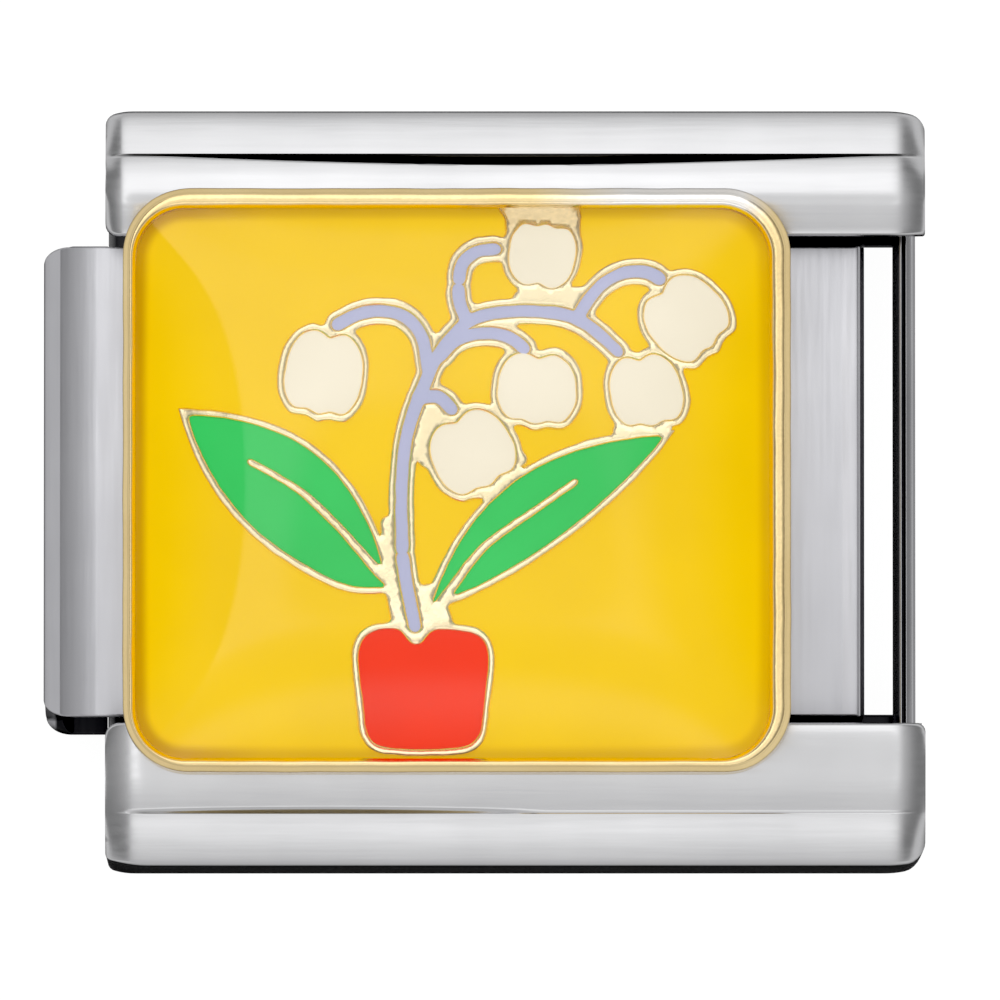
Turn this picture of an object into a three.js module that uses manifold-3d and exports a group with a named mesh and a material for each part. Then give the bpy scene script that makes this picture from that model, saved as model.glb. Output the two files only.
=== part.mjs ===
// Enamel charm link of a modular bracelet, in millimetres.
// X runs along the bracelet, Y across it, +Z is up out of the face. The link lies on its back and its
// origin is the middle of its bounding box's bottom.
import * as THREE from 'three';
import { mergeVertices } from 'three/addons/utils/BufferGeometryUtils.js';
import Module from 'manifold-3d';

const wasm = await Module();
wasm.setup();

// ---------------------------------------------------------------- driving dimensions

const FIT = 0.012; // between an enamel cell and its metal walls
const SEAT = 0.02; // between two pieces that rest on each other

const FRAME_LENGTH = 9.85; // the pitch of the bracelet
const FRAME_WIDTH = 9.0;
const FRAME_HEIGHT = 3.0;
const FRAME_RIGHT = 5.3; // the frame's right end; its left end is one length back
const FRAME_SHEET = 0.3;
const FRAME_CORNER = 0.2;
const BACK_RADIUS = 0.3;
const RAIL_INNER = 2.93; // half the clear width between the rails
const RAIL_CREASE = 3.9; // where a rail's flat meets its rounded shoulder
const RAIL_FALL = 0.06; // how much the flat drops from its inner edge to the crease
const SHOULDER_FOOT = 1.9; // height at which the shoulder meets the side wall
const SHOULDER_DIP = 0.12; // how far below the crease the shoulder's two tangents meet

const PLATE_SHEET = 0.22;
const PLATE_TOP = 2.5;
const PLATE_HALF_WIDTH = 2.8;
const PLATE_RIGHT = 4.56;
const PLATE_LEFT = -5.3;
const PLATE_CORNER = 0.12;
const PLATE_WEB_FOOT = 0.5; // lower edge of the down-turned right end
const HOOK_BOTTOM = 0.08;
const HOOK_END = -4.6;
const ROLL_RADIUS = 0.34;
const GUIDE_LEFT = -2.2; // the flanges that run under the rails
const GUIDE_RIGHT = 4.2;
const GUIDE_TOP = 2.2;
const GUIDE_HALF_WIDTH = 4.05;

const WINDOW_LEFT = 4.56;
const WINDOW_HALF_WIDTH = 3.0;
const BAR_LEFT = 4.91;
const BAR_RIGHT = 5.17;
const BAR_LEG = 0.1; // thickness of the crossbar's folded lips
const BAR_BOTTOM = 1.0;
const BAR_TOP = 2.0;
const BAR_POST = 0.3; // the posts that carry the crossbar, measured across
const TAB_LEFT = -4.2;
const TAB_HEIGHT = 1.4;
const TAB_HALF_WIDTH = 1.2;
const TAB_HOLE_LENGTH = 1.1;

const SPRING_HALF_WIDTH = 2.2;
const SPRING_SHEET = 0.12;
const SPRING_TOP = 1.25;
const SPRING_FOLDS = 8;

const PLAQUE_X = -0.31; // the plaque's middle, near the sliding plate's middle
const PLAQUE_LENGTH = 8.0;
const PLAQUE_WIDTH = 7.0;
const PLAQUE_CORNER = 0.8;
const PLAQUE_BOTTOM = 3.12;
const PLAQUE_FLOOR = 3.45;
const WALL_TOP = 3.8;
const RIM_TOP = 4.05;
const RIM_FLANK = 0.1; // how far the rim's outer side leans in
const RIM_WIDTH = 0.18; // from the plaque's edge to the inside of the bead
const RIM_FOOT = 0.33; // from the plaque's edge to the foot of the rim's sloped inner side
const RIM_EDGE = 3.99; // height of the bead's inner edge
const FOOT_LENGTH = 7.0;
const FOOT_WIDTH = 5.3;
const ENAMEL_TOP = 3.77;
const DOME_TOP = 4.55;

const LINE = 0.08; // width of the metal walls in the picture
const STEM = 0.155; // width of the lilac stem
const VEIN = [0.07, 0.12]; // width of a leaf's vein at its tip and its base
const CURVE_STEP = 0.13; // length of one straight piece of a drawn line
const LEAST_POCKET = 0.012; // a smaller pocket, in mm3, is left as metal

// ---------------------------------------------------------------- solids

function solidFrom(geometry) {
  const bare = geometry.clone();
  bare.deleteAttribute('normal');
  bare.deleteAttribute('uv');
  const merged = mergeVertices(bare, 1e-5);
  return new wasm.Manifold(new wasm.Mesh({
    numProp: 3,
    vertProperties: new Float32Array(merged.attributes.position.array),
    triVerts: new Uint32Array(merged.index.array),
  }));
}

function geometryFrom(solid) {
  const mesh = solid.getMesh();
  const geometry = new THREE.BufferGeometry();
  geometry.setAttribute('position', new THREE.BufferAttribute(mesh.vertProperties, 3));
  geometry.setIndex(new THREE.BufferAttribute(mesh.triVerts, 1));
  geometry.computeVertexNormals();
  return geometry;
}

const unite = (solids) => solids.reduce((joined, next) => joined.add(next));

function box(x0, x1, y0, y1, z0, z1) {
  const block = new THREE.BoxGeometry(x1 - x0, y1 - y0, z1 - z0);
  block.translate((x0 + x1) / 2, (y0 + y1) / 2, (z0 + z1) / 2);
  return solidFrom(block);
}

function prism(shape, z0, z1, curveSegments = 6) {
  const geometry = new THREE.ExtrudeGeometry(shape, {
    depth: z1 - z0, bevelEnabled: false, curveSegments,
  });
  return solidFrom(geometry.translate(0, 0, z0));
}

// A section drawn in Y and Z, extruded along X.
function alongX(section, x0, x1) {
  const geometry = new THREE.ExtrudeGeometry(section, {
    depth: x1 - x0, bevelEnabled: false, curveSegments: 6,
  });
  const turn = new THREE.Matrix4().makeBasis(
    new THREE.Vector3(0, 1, 0), new THREE.Vector3(0, 0, 1), new THREE.Vector3(1, 0, 0),
  );
  return solidFrom(geometry.applyMatrix4(turn).translate(x0, 0, 0));
}

// A section drawn in X and Z, extruded along Y.
function alongY(section, y0, y1) {
  const geometry = new THREE.ExtrudeGeometry(section, {
    depth: y1 - y0, bevelEnabled: false, curveSegments: 6,
  });
  const turn = new THREE.Matrix4().makeBasis(
    new THREE.Vector3(1, 0, 0), new THREE.Vector3(0, 0, 1), new THREE.Vector3(0, -1, 0),
  );
  return solidFrom(geometry.applyMatrix4(turn).translate(0, y1, 0));
}

// ---------------------------------------------------------------- flat outlines

const at = (x, y) => new THREE.Vector2(x, y);

function roundedRectangle(centreX, length, width, radius, inset = 0) {
  const x = length / 2 - inset;
  const y = width / 2 - inset;
  const r = Math.max(radius - inset, 0.05);
  const shape = new THREE.Shape();
  shape.absarc(centreX + x - r, y - r, r, 0, Math.PI / 2, false);
  shape.absarc(centreX - x + r, y - r, r, Math.PI / 2, Math.PI, false);
  shape.absarc(centreX - x + r, -y + r, r, Math.PI, Math.PI * 1.5, false);
  shape.absarc(centreX + x - r, -y + r, r, Math.PI * 1.5, Math.PI * 2, false);
  shape.closePath();
  return shape;
}

// The outline moved outwards by a distance; corners are mitred up to twice that distance.
function grown(points, distance) {
  const ring = THREE.ShapeUtils.isClockWise(points) ? [...points].reverse() : points;
  return ring.map((point, i) => {
    const before = ring[(i + ring.length - 1) % ring.length];
    const after = ring[(i + 1) % ring.length];
    const a = point.clone().sub(before).normalize();
    const b = after.clone().sub(point).normalize();
    const outward = at(a.y + b.y, -a.x - b.x).normalize();
    const miter = 1 / Math.max(outward.dot(at(a.y, -a.x)), 0.5);
    return point.clone().addScaledVector(outward, distance * miter);
  });
}

// A line of constant or tapering width with round ends, along a smooth curve through its points.
function ribbon(points, widthStart, widthEnd = widthStart) {
  const curve = new THREE.CatmullRomCurve3(
    points.map(([x, y]) => new THREE.Vector3(x, y, 0)), false, 'centripetal',
  );
  const steps = Math.max(2, Math.ceil(curve.getLength() / CURVE_STEP));
  const left = [];
  const right = [];
  for (let i = 0; i <= steps; i++) {
    const half = THREE.MathUtils.lerp(widthStart, widthEnd, i / steps) / 2;
    const centre = curve.getPointAt(i / steps);
    const way = curve.getTangentAt(i / steps);
    left.push(at(centre.x - way.y * half, centre.y + way.x * half));
    right.unshift(at(centre.x + way.y * half, centre.y - way.x * half));
  }
  const cap = (parameter, half, facing) => {
    const centre = curve.getPointAt(parameter);
    const way = curve.getTangentAt(parameter);
    const heading = Math.atan2(way.y, way.x) + facing;
    return [-60, -30, 0, 30, 60].map((degrees) => {
      const angle = heading - THREE.MathUtils.degToRad(degrees);
      return at(centre.x + half * Math.cos(angle), centre.y + half * Math.sin(angle));
    });
  };
  return [
    ...left, ...cap(1, widthEnd / 2, 0),
    ...right, ...cap(0, widthStart / 2, Math.PI),
  ];
}

// ---------------------------------------------------------------- frame

function frameSection() {
  const half = FRAME_WIDTH / 2;
  const inner = half - FRAME_SHEET;
  const crease = FRAME_HEIGHT - RAIL_FALL;
  const s = FRAME_SHEET;
  const section = new THREE.Shape();
  section.moveTo(-half + BACK_RADIUS, 0);
  section.lineTo(half - BACK_RADIUS, 0);
  section.quadraticCurveTo(half, 0, half, BACK_RADIUS);
  section.lineTo(half, SHOULDER_FOOT);
  section.quadraticCurveTo(half, crease - SHOULDER_DIP, RAIL_CREASE, crease);
  section.lineTo(RAIL_INNER, FRAME_HEIGHT);
  section.lineTo(RAIL_INNER, FRAME_HEIGHT - s);
  section.lineTo(RAIL_CREASE - 0.1, crease - s);
  section.quadraticCurveTo(inner, crease - s - SHOULDER_DIP, inner, SHOULDER_FOOT);
  section.lineTo(inner, s);
  section.lineTo(-inner, s);
  section.lineTo(-inner, SHOULDER_FOOT);
  section.quadraticCurveTo(-inner, crease - s - SHOULDER_DIP, -RAIL_CREASE + 0.1, crease - s);
  section.lineTo(-RAIL_INNER, FRAME_HEIGHT - s);
  section.lineTo(-RAIL_INNER, FRAME_HEIGHT);
  section.lineTo(-RAIL_CREASE, crease);
  section.quadraticCurveTo(-half, crease - SHOULDER_DIP, -half, SHOULDER_FOOT);
  section.lineTo(-half, BACK_RADIUS);
  section.quadraticCurveTo(-half, 0, -half + BACK_RADIUS, 0);
  return section;
}

// The folded bar that the next link's hook closes round.
function crossbar() {
  const post = WINDOW_HALF_WIDTH + 0.05;
  const lip = (x0, x1, top) => box(x0, x1, -post, post, BAR_BOTTOM, top);
  return unite([
    box(BAR_LEFT, BAR_RIGHT, -post, post, BAR_BOTTOM, BAR_BOTTOM + BAR_LEG),
    lip(BAR_LEFT, BAR_LEFT + BAR_LEG, BAR_TOP - 0.1),
    lip(BAR_RIGHT - BAR_LEG, BAR_RIGHT, BAR_TOP),
    box(BAR_LEFT, BAR_RIGHT, post, post + BAR_POST, FRAME_SHEET / 2, BAR_TOP),
    box(BAR_LEFT, BAR_RIGHT, -post - BAR_POST, -post, FRAME_SHEET / 2, BAR_TOP),
  ]);
}

function outerFrame() {
  const left = FRAME_RIGHT - FRAME_LENGTH;
  const middle = (left + FRAME_RIGHT) / 2;
  const plan = roundedRectangle(middle, FRAME_LENGTH, FRAME_WIDTH, FRAME_CORNER);
  const channel = alongX(frameSection(), left, FRAME_RIGHT)
    .intersect(prism(plan, -1, FRAME_HEIGHT + 1, 3));
  const window = box(
    WINDOW_LEFT, FRAME_RIGHT + 1, -WINDOW_HALF_WIDTH, WINDOW_HALF_WIDTH, -1, FRAME_SHEET + 0.1,
  );
  const tabHole = box(
    TAB_LEFT + FRAME_SHEET, TAB_LEFT + FRAME_SHEET + TAB_HOLE_LENGTH,
    -TAB_HALF_WIDTH, TAB_HALF_WIDTH, -1, FRAME_SHEET + 0.1,
  );
  const tab = box(
    TAB_LEFT, TAB_LEFT + FRAME_SHEET, -TAB_HALF_WIDTH, TAB_HALF_WIDTH, FRAME_SHEET / 2, TAB_HEIGHT,
  );
  return channel.subtract(window).subtract(tabHole).add(tab).add(crossbar());
}

// ---------------------------------------------------------------- sliding plate and its spring

// One strip, seen from the side: the hook, the flat face and the down-turned right end.
function plateSection() {
  const s = PLATE_SHEET;
  const r = ROLL_RADIUS;
  const inner = r - s;
  const quarter = Math.PI / 2;
  const section = new THREE.Shape();
  section.moveTo(HOOK_END, HOOK_BOTTOM);
  section.lineTo(HOOK_END, HOOK_BOTTOM + s);
  section.absarc(PLATE_LEFT + r, HOOK_BOTTOM + r, inner, -quarter, -2 * quarter, true);
  section.absarc(PLATE_LEFT + r, PLATE_TOP - r, inner, 2 * quarter, quarter, true);
  section.absarc(PLATE_RIGHT - r, PLATE_TOP - r, inner, quarter, 0, true);
  section.lineTo(PLATE_RIGHT - s, PLATE_WEB_FOOT);
  section.lineTo(PLATE_RIGHT, PLATE_WEB_FOOT);
  section.absarc(PLATE_RIGHT - r, PLATE_TOP - r, r, 0, quarter, false);
  section.absarc(PLATE_LEFT + r, PLATE_TOP - r, r, quarter, 2 * quarter, false);
  section.absarc(PLATE_LEFT + r, HOOK_BOTTOM + r, r, 2 * quarter, 3 * quarter, false);
  section.closePath();
  return section;
}

// A side flange: a short web down from the plate's edge and a wing out under the rail.
function guideFlange(side) {
  const s = PLATE_SHEET;
  const edge = PLATE_HALF_WIDTH;
  const outline = [
    [edge - s, PLATE_TOP - s / 2], [edge, PLATE_TOP - s / 2], [edge, GUIDE_TOP],
    [GUIDE_HALF_WIDTH, GUIDE_TOP], [GUIDE_HALF_WIDTH, GUIDE_TOP - s], [edge - s, GUIDE_TOP - s],
  ];
  return alongX(new THREE.Shape(outline.map(([y, z]) => at(side * y, z))), GUIDE_LEFT, GUIDE_RIGHT);
}

function slidingPlate() {
  const length = PLATE_RIGHT - PLATE_LEFT;
  const middle = (PLATE_RIGHT + PLATE_LEFT) / 2;
  const plan = roundedRectangle(middle, length, 2 * PLATE_HALF_WIDTH, PLATE_CORNER);
  const strip = alongY(plateSection(), -PLATE_HALF_WIDTH, PLATE_HALF_WIDTH)
    .intersect(prism(plan, -1, PLATE_TOP + 1, 2));
  return strip.add(guideFlange(1)).add(guideFlange(-1));
}

// A strip folded to and fro across the link, standing on its edge.
function leafSpring() {
  const start = TAB_LEFT + FRAME_SHEET + SEAT;
  const end = PLATE_RIGHT - PLATE_SHEET - SEAT;
  const pitch = (end - start - SPRING_SHEET) / SPRING_FOLDS;
  const bend = pitch / 2;
  const reach = SPRING_HALF_WIDTH - bend;
  const first = start + SPRING_SHEET / 2;
  const z0 = FRAME_SHEET + SEAT;
  const half = SPRING_SHEET / 2;
  const pieces = [];
  for (let i = 0; i <= SPRING_FOLDS; i++) {
    const x = first + i * pitch;
    pieces.push(box(x - half, x + half, -reach - 0.02, reach + 0.02, z0, SPRING_TOP));
  }
  for (let i = 0; i < SPRING_FOLDS; i++) {
    const side = i % 2 ? -1 : 1;
    const turn = new THREE.Shape();
    const centre = first + (i + 0.5) * pitch;
    const from = side > 0 ? 0 : Math.PI;
    turn.absarc(centre, side * reach, bend + half, from, from + Math.PI, false);
    turn.absarc(centre, side * reach, bend - half, from + Math.PI, from, true);
    turn.closePath();
    pieces.push(prism(turn, z0, SPRING_TOP));
  }
  return unite(pieces);
}

// ---------------------------------------------------------------- the picture
// Drawn flat in X and Y about the plaque's middle.

const BELL_FORM = {
  points: 36, squareness: 0.72, taper: 0.1, dipDepth: 0.2, dipWidth: 0.24, lobeDepth: 0.05, lobes: 3,
};

// A bell seen from the side: a rounded body with a lobed mouth and a dip where the stalk meets it.
function bellOutline({ x, y, width, height, tilt }) {
  const { points: count, squareness, taper, dipDepth, dipWidth, lobeDepth, lobes } = BELL_FORM;
  const turn = THREE.MathUtils.degToRad(tilt);
  const square = (value) => Math.sign(value) * Math.abs(value) ** squareness;
  const points = [];
  for (let i = 0; i < count; i++) {
    const angle = (i / count) * Math.PI * 2;
    const across = square(Math.cos(angle)) * (1 - taper * Math.sin(angle));
    const dip = angle < Math.PI ? dipDepth * Math.exp(-((across / dipWidth) ** 2)) : 0;
    const lobe = angle > Math.PI ? lobeDepth * Math.cos(across * Math.PI * lobes) : 0;
    const along = square(Math.sin(angle)) - dip - lobe;
    const u = (across * width) / 2;
    const v = (along * height) / 2;
    points.push(at(
      x + u * Math.cos(turn) - v * Math.sin(turn),
      y + u * Math.sin(turn) + v * Math.cos(turn),
    ));
  }
  return points;
}

// A leaf between its base and its tip, with a bulge to each side.
function leafOutline({ base, tip, upper, lower }) {
  const over = new THREE.QuadraticBezierCurve(at(...base), at(...upper), at(...tip));
  const under = new THREE.QuadraticBezierCurve(at(...tip), at(...lower), at(...base));
  return [...over.getPoints(16).slice(0, -1), ...under.getPoints(16).slice(0, -1)];
}

// The pot: wider at its lip, with round corners and a dip where the stem stands in it.
function potOutline({ x, top, bottom, topWidth, bottomWidth, corner, dip }) {
  const shape = new THREE.Shape();
  const a = topWidth / 2;
  const b = bottomWidth / 2;
  shape.moveTo(x - a + corner, top);
  shape.lineTo(x + dip.x - dip.width, top);
  shape.bezierCurveTo(
    x + dip.x - dip.width / 2, top, x + dip.x - dip.width / 2, top - dip.depth,
    x + dip.x, top - dip.depth,
  );
  shape.bezierCurveTo(
    x + dip.x + dip.width / 2, top - dip.depth, x + dip.x + dip.width / 2, top,
    x + dip.x + dip.width, top,
  );
  shape.lineTo(x + a - corner, top);
  shape.quadraticCurveTo(x + a, top, x + a, top - corner);
  shape.lineTo(x + b, bottom + corner);
  shape.quadraticCurveTo(x + b, bottom, x + b - corner, bottom);
  shape.lineTo(x - b + corner, bottom);
  shape.quadraticCurveTo(x - b, bottom, x - b, bottom + corner);
  shape.lineTo(x - a, top - corner);
  shape.quadraticCurveTo(x - a, top, x - a + corner, top);
  return shape.getPoints(6).slice(0, -1);
}

const BELLS = [
  { x: -1.61, y: 1.28, width: 0.94, height: 0.98, tilt: -10 },
  { x: 1.02, y: 2.69, width: 0.8, height: 0.8, tilt: 172 },
  { x: 2.78, y: 1.94, width: 0.94, height: 0.92, tilt: 44 },
  { x: 2.26, y: 1.08, width: 0.86, height: 0.84, tilt: 8 },
  { x: 0.96, y: 1.11, width: 0.94, height: 0.84, tilt: -4 },
  { x: 0.17, y: 0.35, width: 0.98, height: 0.9, tilt: 28 },
];

const LEAVES = {
  left: {
    base: [-0.83, -1.25], tip: [-3.2, 0.78], upper: [-1.32, 0.72], lower: [-2.76, -1.04],
    vein: [[-2.52, 0.23], [-1.97, -0.1], [-1.4, -0.6], [-0.7, -1.3]],
  },
  right: {
    base: [-0.3, -1.5], tip: [2.45, 0.52], upper: [0.29, 0.42], lower: [1.4, -0.81],
    vein: [[1.41, -0.02], [0.9, -0.38], [0.3, -0.82], [-0.26, -1.58]],
  },
};

const POT = {
  x: -0.4, top: -1.81, bottom: -3.06, topWidth: 1.55, bottomWidth: 1.4, corner: 0.3,
  dip: { x: -0.09, width: 0.26, depth: 0.18 },
};

const STEMS = {
  lower: [[[-0.5, -1.79], [-0.585, -1.35], [-0.655, -0.9]]],
  main: [
    [
      [-0.66, -0.82], [-0.67, -0.05], [-0.59, 0.58], [-0.39, 1.12], [-0.19, 1.52],
      [0.17, 1.88], [0.75, 2.0], [1.36, 1.94], [1.7, 1.74], [1.95, 1.52],
    ],
    [[-1.44, 1.83], [-1.19, 1.95], [-0.92, 1.99], [-0.64, 1.93], [-0.43, 1.71], [-0.34, 1.3]],
    [[0.12, 1.86], [0.03, 2.1], [0.02, 2.25]],
    [[1.44, 1.9], [1.62, 2.17], [1.82, 2.36], [2.08, 2.46], [2.34, 2.45], [2.48, 2.38]],
    [[-0.2, 1.46], [0.02, 1.66], [0.33, 1.73], [0.62, 1.69], [0.81, 1.56]],
    [[-0.47, 0.96], [-0.22, 0.98], [-0.06, 0.83]],
  ],
  top: [[[0.025, 2.36], [0.06, 2.54], [0.21, 2.69], [0.47, 2.76]]],
};

// Places where the metal walls run together into a wider field: a line and its width.
const METAL_PADS = [
  [[[1.02, 3.4], [1.04, 2.9]], 0.9],
  [[[0.78, 2.16], [1.12, 2.19], [1.46, 2.2]], 0.22],
  [[[-0.42, 0.82], [-0.36, 0.25]], 0.22],
  [[[0.08, -0.16], [0.36, -0.14]], 0.16],
  [[[0.66, 0.33], [0.76, 0.24]], 0.16],
  [[[1.94, 0.58], [2.44, 0.64]], 0.18],
  [[[2.5, 1.42], [2.62, 1.5]], 0.16],
  [[[-0.86, -0.5], [-0.8, -1.1]], 0.14],
  [[[-0.75, -1.25], [-0.66, -1.72]], 0.24],
  [[[-0.36, -1.46], [-0.24, -1.74]], 0.42],
];

// A solid through rings of the plaque's outline, each drawn in by an inset at its height.
function plaqueLoft(levels) {
  const rings = levels.map(([inset, z]) => {
    const corner = Math.max(PLAQUE_CORNER, inset + 0.45);
    const outline = roundedRectangle(PLAQUE_X, PLAQUE_LENGTH, PLAQUE_WIDTH, corner, inset);
    return outline.getPoints(4).slice(0, -1).map((point) => new THREE.Vector3(point.x, point.y, z));
  });
  const count = rings[0].length;
  const centres = [levels[0], levels.at(-1)].map(([, z]) => new THREE.Vector3(PLAQUE_X, 0, z));
  const points = [...rings.flat(), ...centres];
  const [below, above] = [points.length - 2, points.length - 1];
  const faces = [];
  for (let i = 0; i < count; i++) {
    const next = (i + 1) % count;
    const top = (rings.length - 1) * count;
    faces.push(below, next, i, above, top + i, top + next);
    for (let low = 0; low < top; low += count) {
      const high = low + count;
      faces.push(low + i, low + next, high + next, low + i, high + next, high + i);
    }
  }
  const geometry = new THREE.BufferGeometry().setFromPoints(points);
  geometry.setIndex(faces);
  return solidFrom(geometry);
}

const field = (inset, z0, z1) => prism(
  roundedRectangle(PLAQUE_X, PLAQUE_LENGTH, PLAQUE_WIDTH, PLAQUE_CORNER, RIM_FOOT + inset), z0, z1,
);

function flat(points, z0, z1) {
  return prism(new THREE.Shape(points), z0, z1).translate([PLAQUE_X, 0, 0]);
}

// Every coloured figure as a function that gives its solid, grown outwards by a distance.
function figures() {
  const list = [];
  const closed = (points) => (grow, z0, z1) => flat(grow ? grown(points, grow) : points, z0, z1);
  const lines = (routes) => (grow, z0, z1) => unite(
    routes.map((route) => flat(ribbon(route, STEM + 2 * grow), z0, z1)),
  );
  for (const [part, routes] of Object.entries(STEMS)) {
    list.push({ name: `enamel_stem_${part}`, colour: 'lilac', solid: lines(routes) });
  }
  for (const [side, leaf] of Object.entries(LEAVES)) {
    const blade = closed(leafOutline(leaf));
    const split = (grow, z0, z1) => flat(
      ribbon(leaf.vein, ...VEIN.map((width) => width - 2 * grow)), z0, z1,
    );
    const solid = (grow, z0, z1) => (grow < LINE / 2
      ? blade(grow, z0, z1).subtract(split(grow, z0 - 1, z1 + 1))
      : blade(grow, z0, z1));
    list.push({ name: `enamel_leaf_${side}`, colour: 'green', solid });
  }
  BELLS.forEach((bell, i) => {
    list.push({ name: `enamel_bell_${i + 1}`, colour: 'ivory', solid: closed(bellOutline(bell)) });
  });
  list.push({ name: 'enamel_pot', colour: 'red', solid: closed(potOutline(POT)) });
  return list;
}

// The yellow recesses: the field less everything that the walls and pads cover.
function groundRecesses(cells, inset) {
  const [z0, z1] = [PLAQUE_FLOOR, WALL_TOP];
  const covers = cells.map((cell) => cell.solid(LINE + inset, z0 - 1, z1 + 1));
  const pads = METAL_PADS.map(([route, width]) => flat(
    ribbon(route, width + 2 * inset), z0 - 1, z1 + 1,
  ));
  return field(inset, z0 + inset, z1).subtract(unite([...covers, ...pads]));
}

function plaqueParts() {
  const cells = figures();
  const recesses = groundRecesses(cells, 0).decompose()
    .filter((solid) => solid.volume() > LEAST_POCKET)
    .sort((a, b) => b.volume() - a.volume());
  const fills = groundRecesses(cells, FIT);
  const level = field(0, PLAQUE_FLOOR, ENAMEL_TOP);
  const ground = recesses.map((recess) => recess.intersect(fills).intersect(level).decompose()
    .sort((a, b) => b.volume() - a.volume())[0]);

  const body = plaqueLoft([
    [0.06, PLAQUE_BOTTOM], [0, PLAQUE_BOTTOM + 0.08], [0, PLAQUE_FLOOR],
    [RIM_FLANK, RIM_TOP - 0.07], [RIM_FLANK + 0.03, RIM_TOP],
  ]);
  const hollow = plaqueLoft([
    [RIM_FOOT, WALL_TOP], [RIM_WIDTH, RIM_EDGE], [RIM_WIDTH - 0.02, RIM_TOP],
    [RIM_WIDTH - 0.02, RIM_TOP + 1],
  ]);
  const foot = prism(
    roundedRectangle(PLAQUE_X, FOOT_LENGTH, FOOT_WIDTH, 0.5), PLATE_TOP + SEAT, PLAQUE_FLOOR - 0.1,
  );
  let base = body.add(foot).subtract(hollow);
  for (const cell of cells) base = base.subtract(cell.solid(0, PLAQUE_FLOOR, RIM_TOP));
  for (const recess of recesses) base = base.subtract(recess);

  const coloured = cells.map(({ name, colour, solid }) => ({
    name, colour, solid: solid(-FIT, PLAQUE_FLOOR + FIT, ENAMEL_TOP),
  }));
  const yellow = ground.map((solid, i) => ({
    name: i ? `enamel_pocket_${i}` : 'enamel_ground', colour: 'yellow', solid,
  }));
  return { base, enamel: [...coloured, ...yellow] };
}

// The dome fills the hollow of the rim and rises to a low crown.
function clearDome() {
  return plaqueLoft([
    [RIM_FOOT + SEAT, WALL_TOP + SEAT], [RIM_WIDTH + SEAT, RIM_EDGE], [0.24, 4.08], [0.4, 4.18],
    [0.7, 4.3], [1.1, 4.4], [1.7, 4.49], [2.5, DOME_TOP],
  ]);
}

// ---------------------------------------------------------------- materials and assembly

const LOOKS = {
  steel: { color: 0xc4c6ca, metalness: 1, roughness: 0.22 },
  spring: { color: 0xa9abae, metalness: 1, roughness: 0.35 },
  gold: { color: 0xe8cf90, metalness: 1, roughness: 0.25 },
  yellow: { color: 0xf3c806, metalness: 0, roughness: 0.2 },
  green: { color: 0x3bc45a, metalness: 0, roughness: 0.2 },
  red: { color: 0xf34822, metalness: 0, roughness: 0.2 },
  ivory: { color: 0xf0e9d9, metalness: 0, roughness: 0.2 },
  lilac: { color: 0xb8bcdc, metalness: 0, roughness: 0.2 },
  clear: { color: 0xffffff, metalness: 0, roughness: 0.05, transparent: true, opacity: 0.25 },
};

const group = new THREE.Group();

function place(name, look, solid) {
  const mesh = new THREE.Mesh(geometryFrom(solid), new THREE.MeshStandardMaterial(LOOKS[look]));
  mesh.name = name;
  group.add(mesh);
}

const plaque = plaqueParts();
place('outer_frame', 'steel', outerFrame());
place('sliding_plate', 'steel', slidingPlate());
place('leaf_spring', 'spring', leafSpring());
place('plaque_base', 'gold', plaque.base);
for (const { name, colour, solid } of plaque.enamel) place(name, colour, solid);
place('clear_dome', 'clear', clearDome());

export default group;
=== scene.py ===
"""Enamel charm link of a modular bracelet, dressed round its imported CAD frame.

Lengths are in millimetres and angles in degrees, unless a name says otherwise; MM turns them
into Blender's metres. X runs along the bracelet, Y across it and Z up out of the face. Values
kept by side have 1 for the rail at the picture's top and -1 for the one at its bottom.
"""
import math

import bpy
import numpy as np
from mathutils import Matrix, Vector, noise
from mathutils.bvhtree import BVHTree
from mathutils.geometry import delaunay_2d_cdt


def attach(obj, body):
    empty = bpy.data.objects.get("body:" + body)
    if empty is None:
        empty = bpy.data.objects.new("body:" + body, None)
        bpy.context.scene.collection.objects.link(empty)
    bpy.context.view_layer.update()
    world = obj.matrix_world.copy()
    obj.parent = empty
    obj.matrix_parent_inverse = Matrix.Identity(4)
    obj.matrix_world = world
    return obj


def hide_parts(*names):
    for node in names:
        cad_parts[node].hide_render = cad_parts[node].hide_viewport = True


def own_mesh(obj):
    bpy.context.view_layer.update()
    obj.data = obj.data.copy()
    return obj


MM = 0.001

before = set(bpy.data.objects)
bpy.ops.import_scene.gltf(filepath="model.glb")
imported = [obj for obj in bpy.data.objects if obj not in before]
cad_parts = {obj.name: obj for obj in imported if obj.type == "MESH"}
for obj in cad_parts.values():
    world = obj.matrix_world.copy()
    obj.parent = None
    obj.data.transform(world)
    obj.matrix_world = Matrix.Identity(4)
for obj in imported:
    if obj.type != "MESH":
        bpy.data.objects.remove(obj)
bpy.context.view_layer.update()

# ---- the link's measures

FRAME_LEFT, FRAME_RIGHT = -4.55, 5.3
FRAME_HALF_WIDTH = 4.545
FRAME_HEIGHT = 3.0
FRAME_SHEET = 0.3
RAIL_LIPS = {1: 3.03, -1: 2.83}
LIP_RADIUS = 0.05
SHOULDER_RADIUS = 0.1
BACK_RADIUS = 0.3
HOLLOW_SHOULDER, HOLLOW_CORNER, ROOF_FALL = 0.3, 0.12, 0.03
# How the frame's ends roll in: reach, drop and power; 0 is the back's.
LEFT_ROLLS = {1: (0.33, 0.075, 2.2), -1: (0.5, 0.1, 1.9), 0: (0.33, 0.062, 2.2)}
RIGHT_ROLL, HOLLOW_ROLL = (0.5, 0.104, 2.6), 0.04
# Heights between which an end's roll goes over from the back's to the rail's.
BACK_ZONE = (0.6, 2.0)
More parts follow.
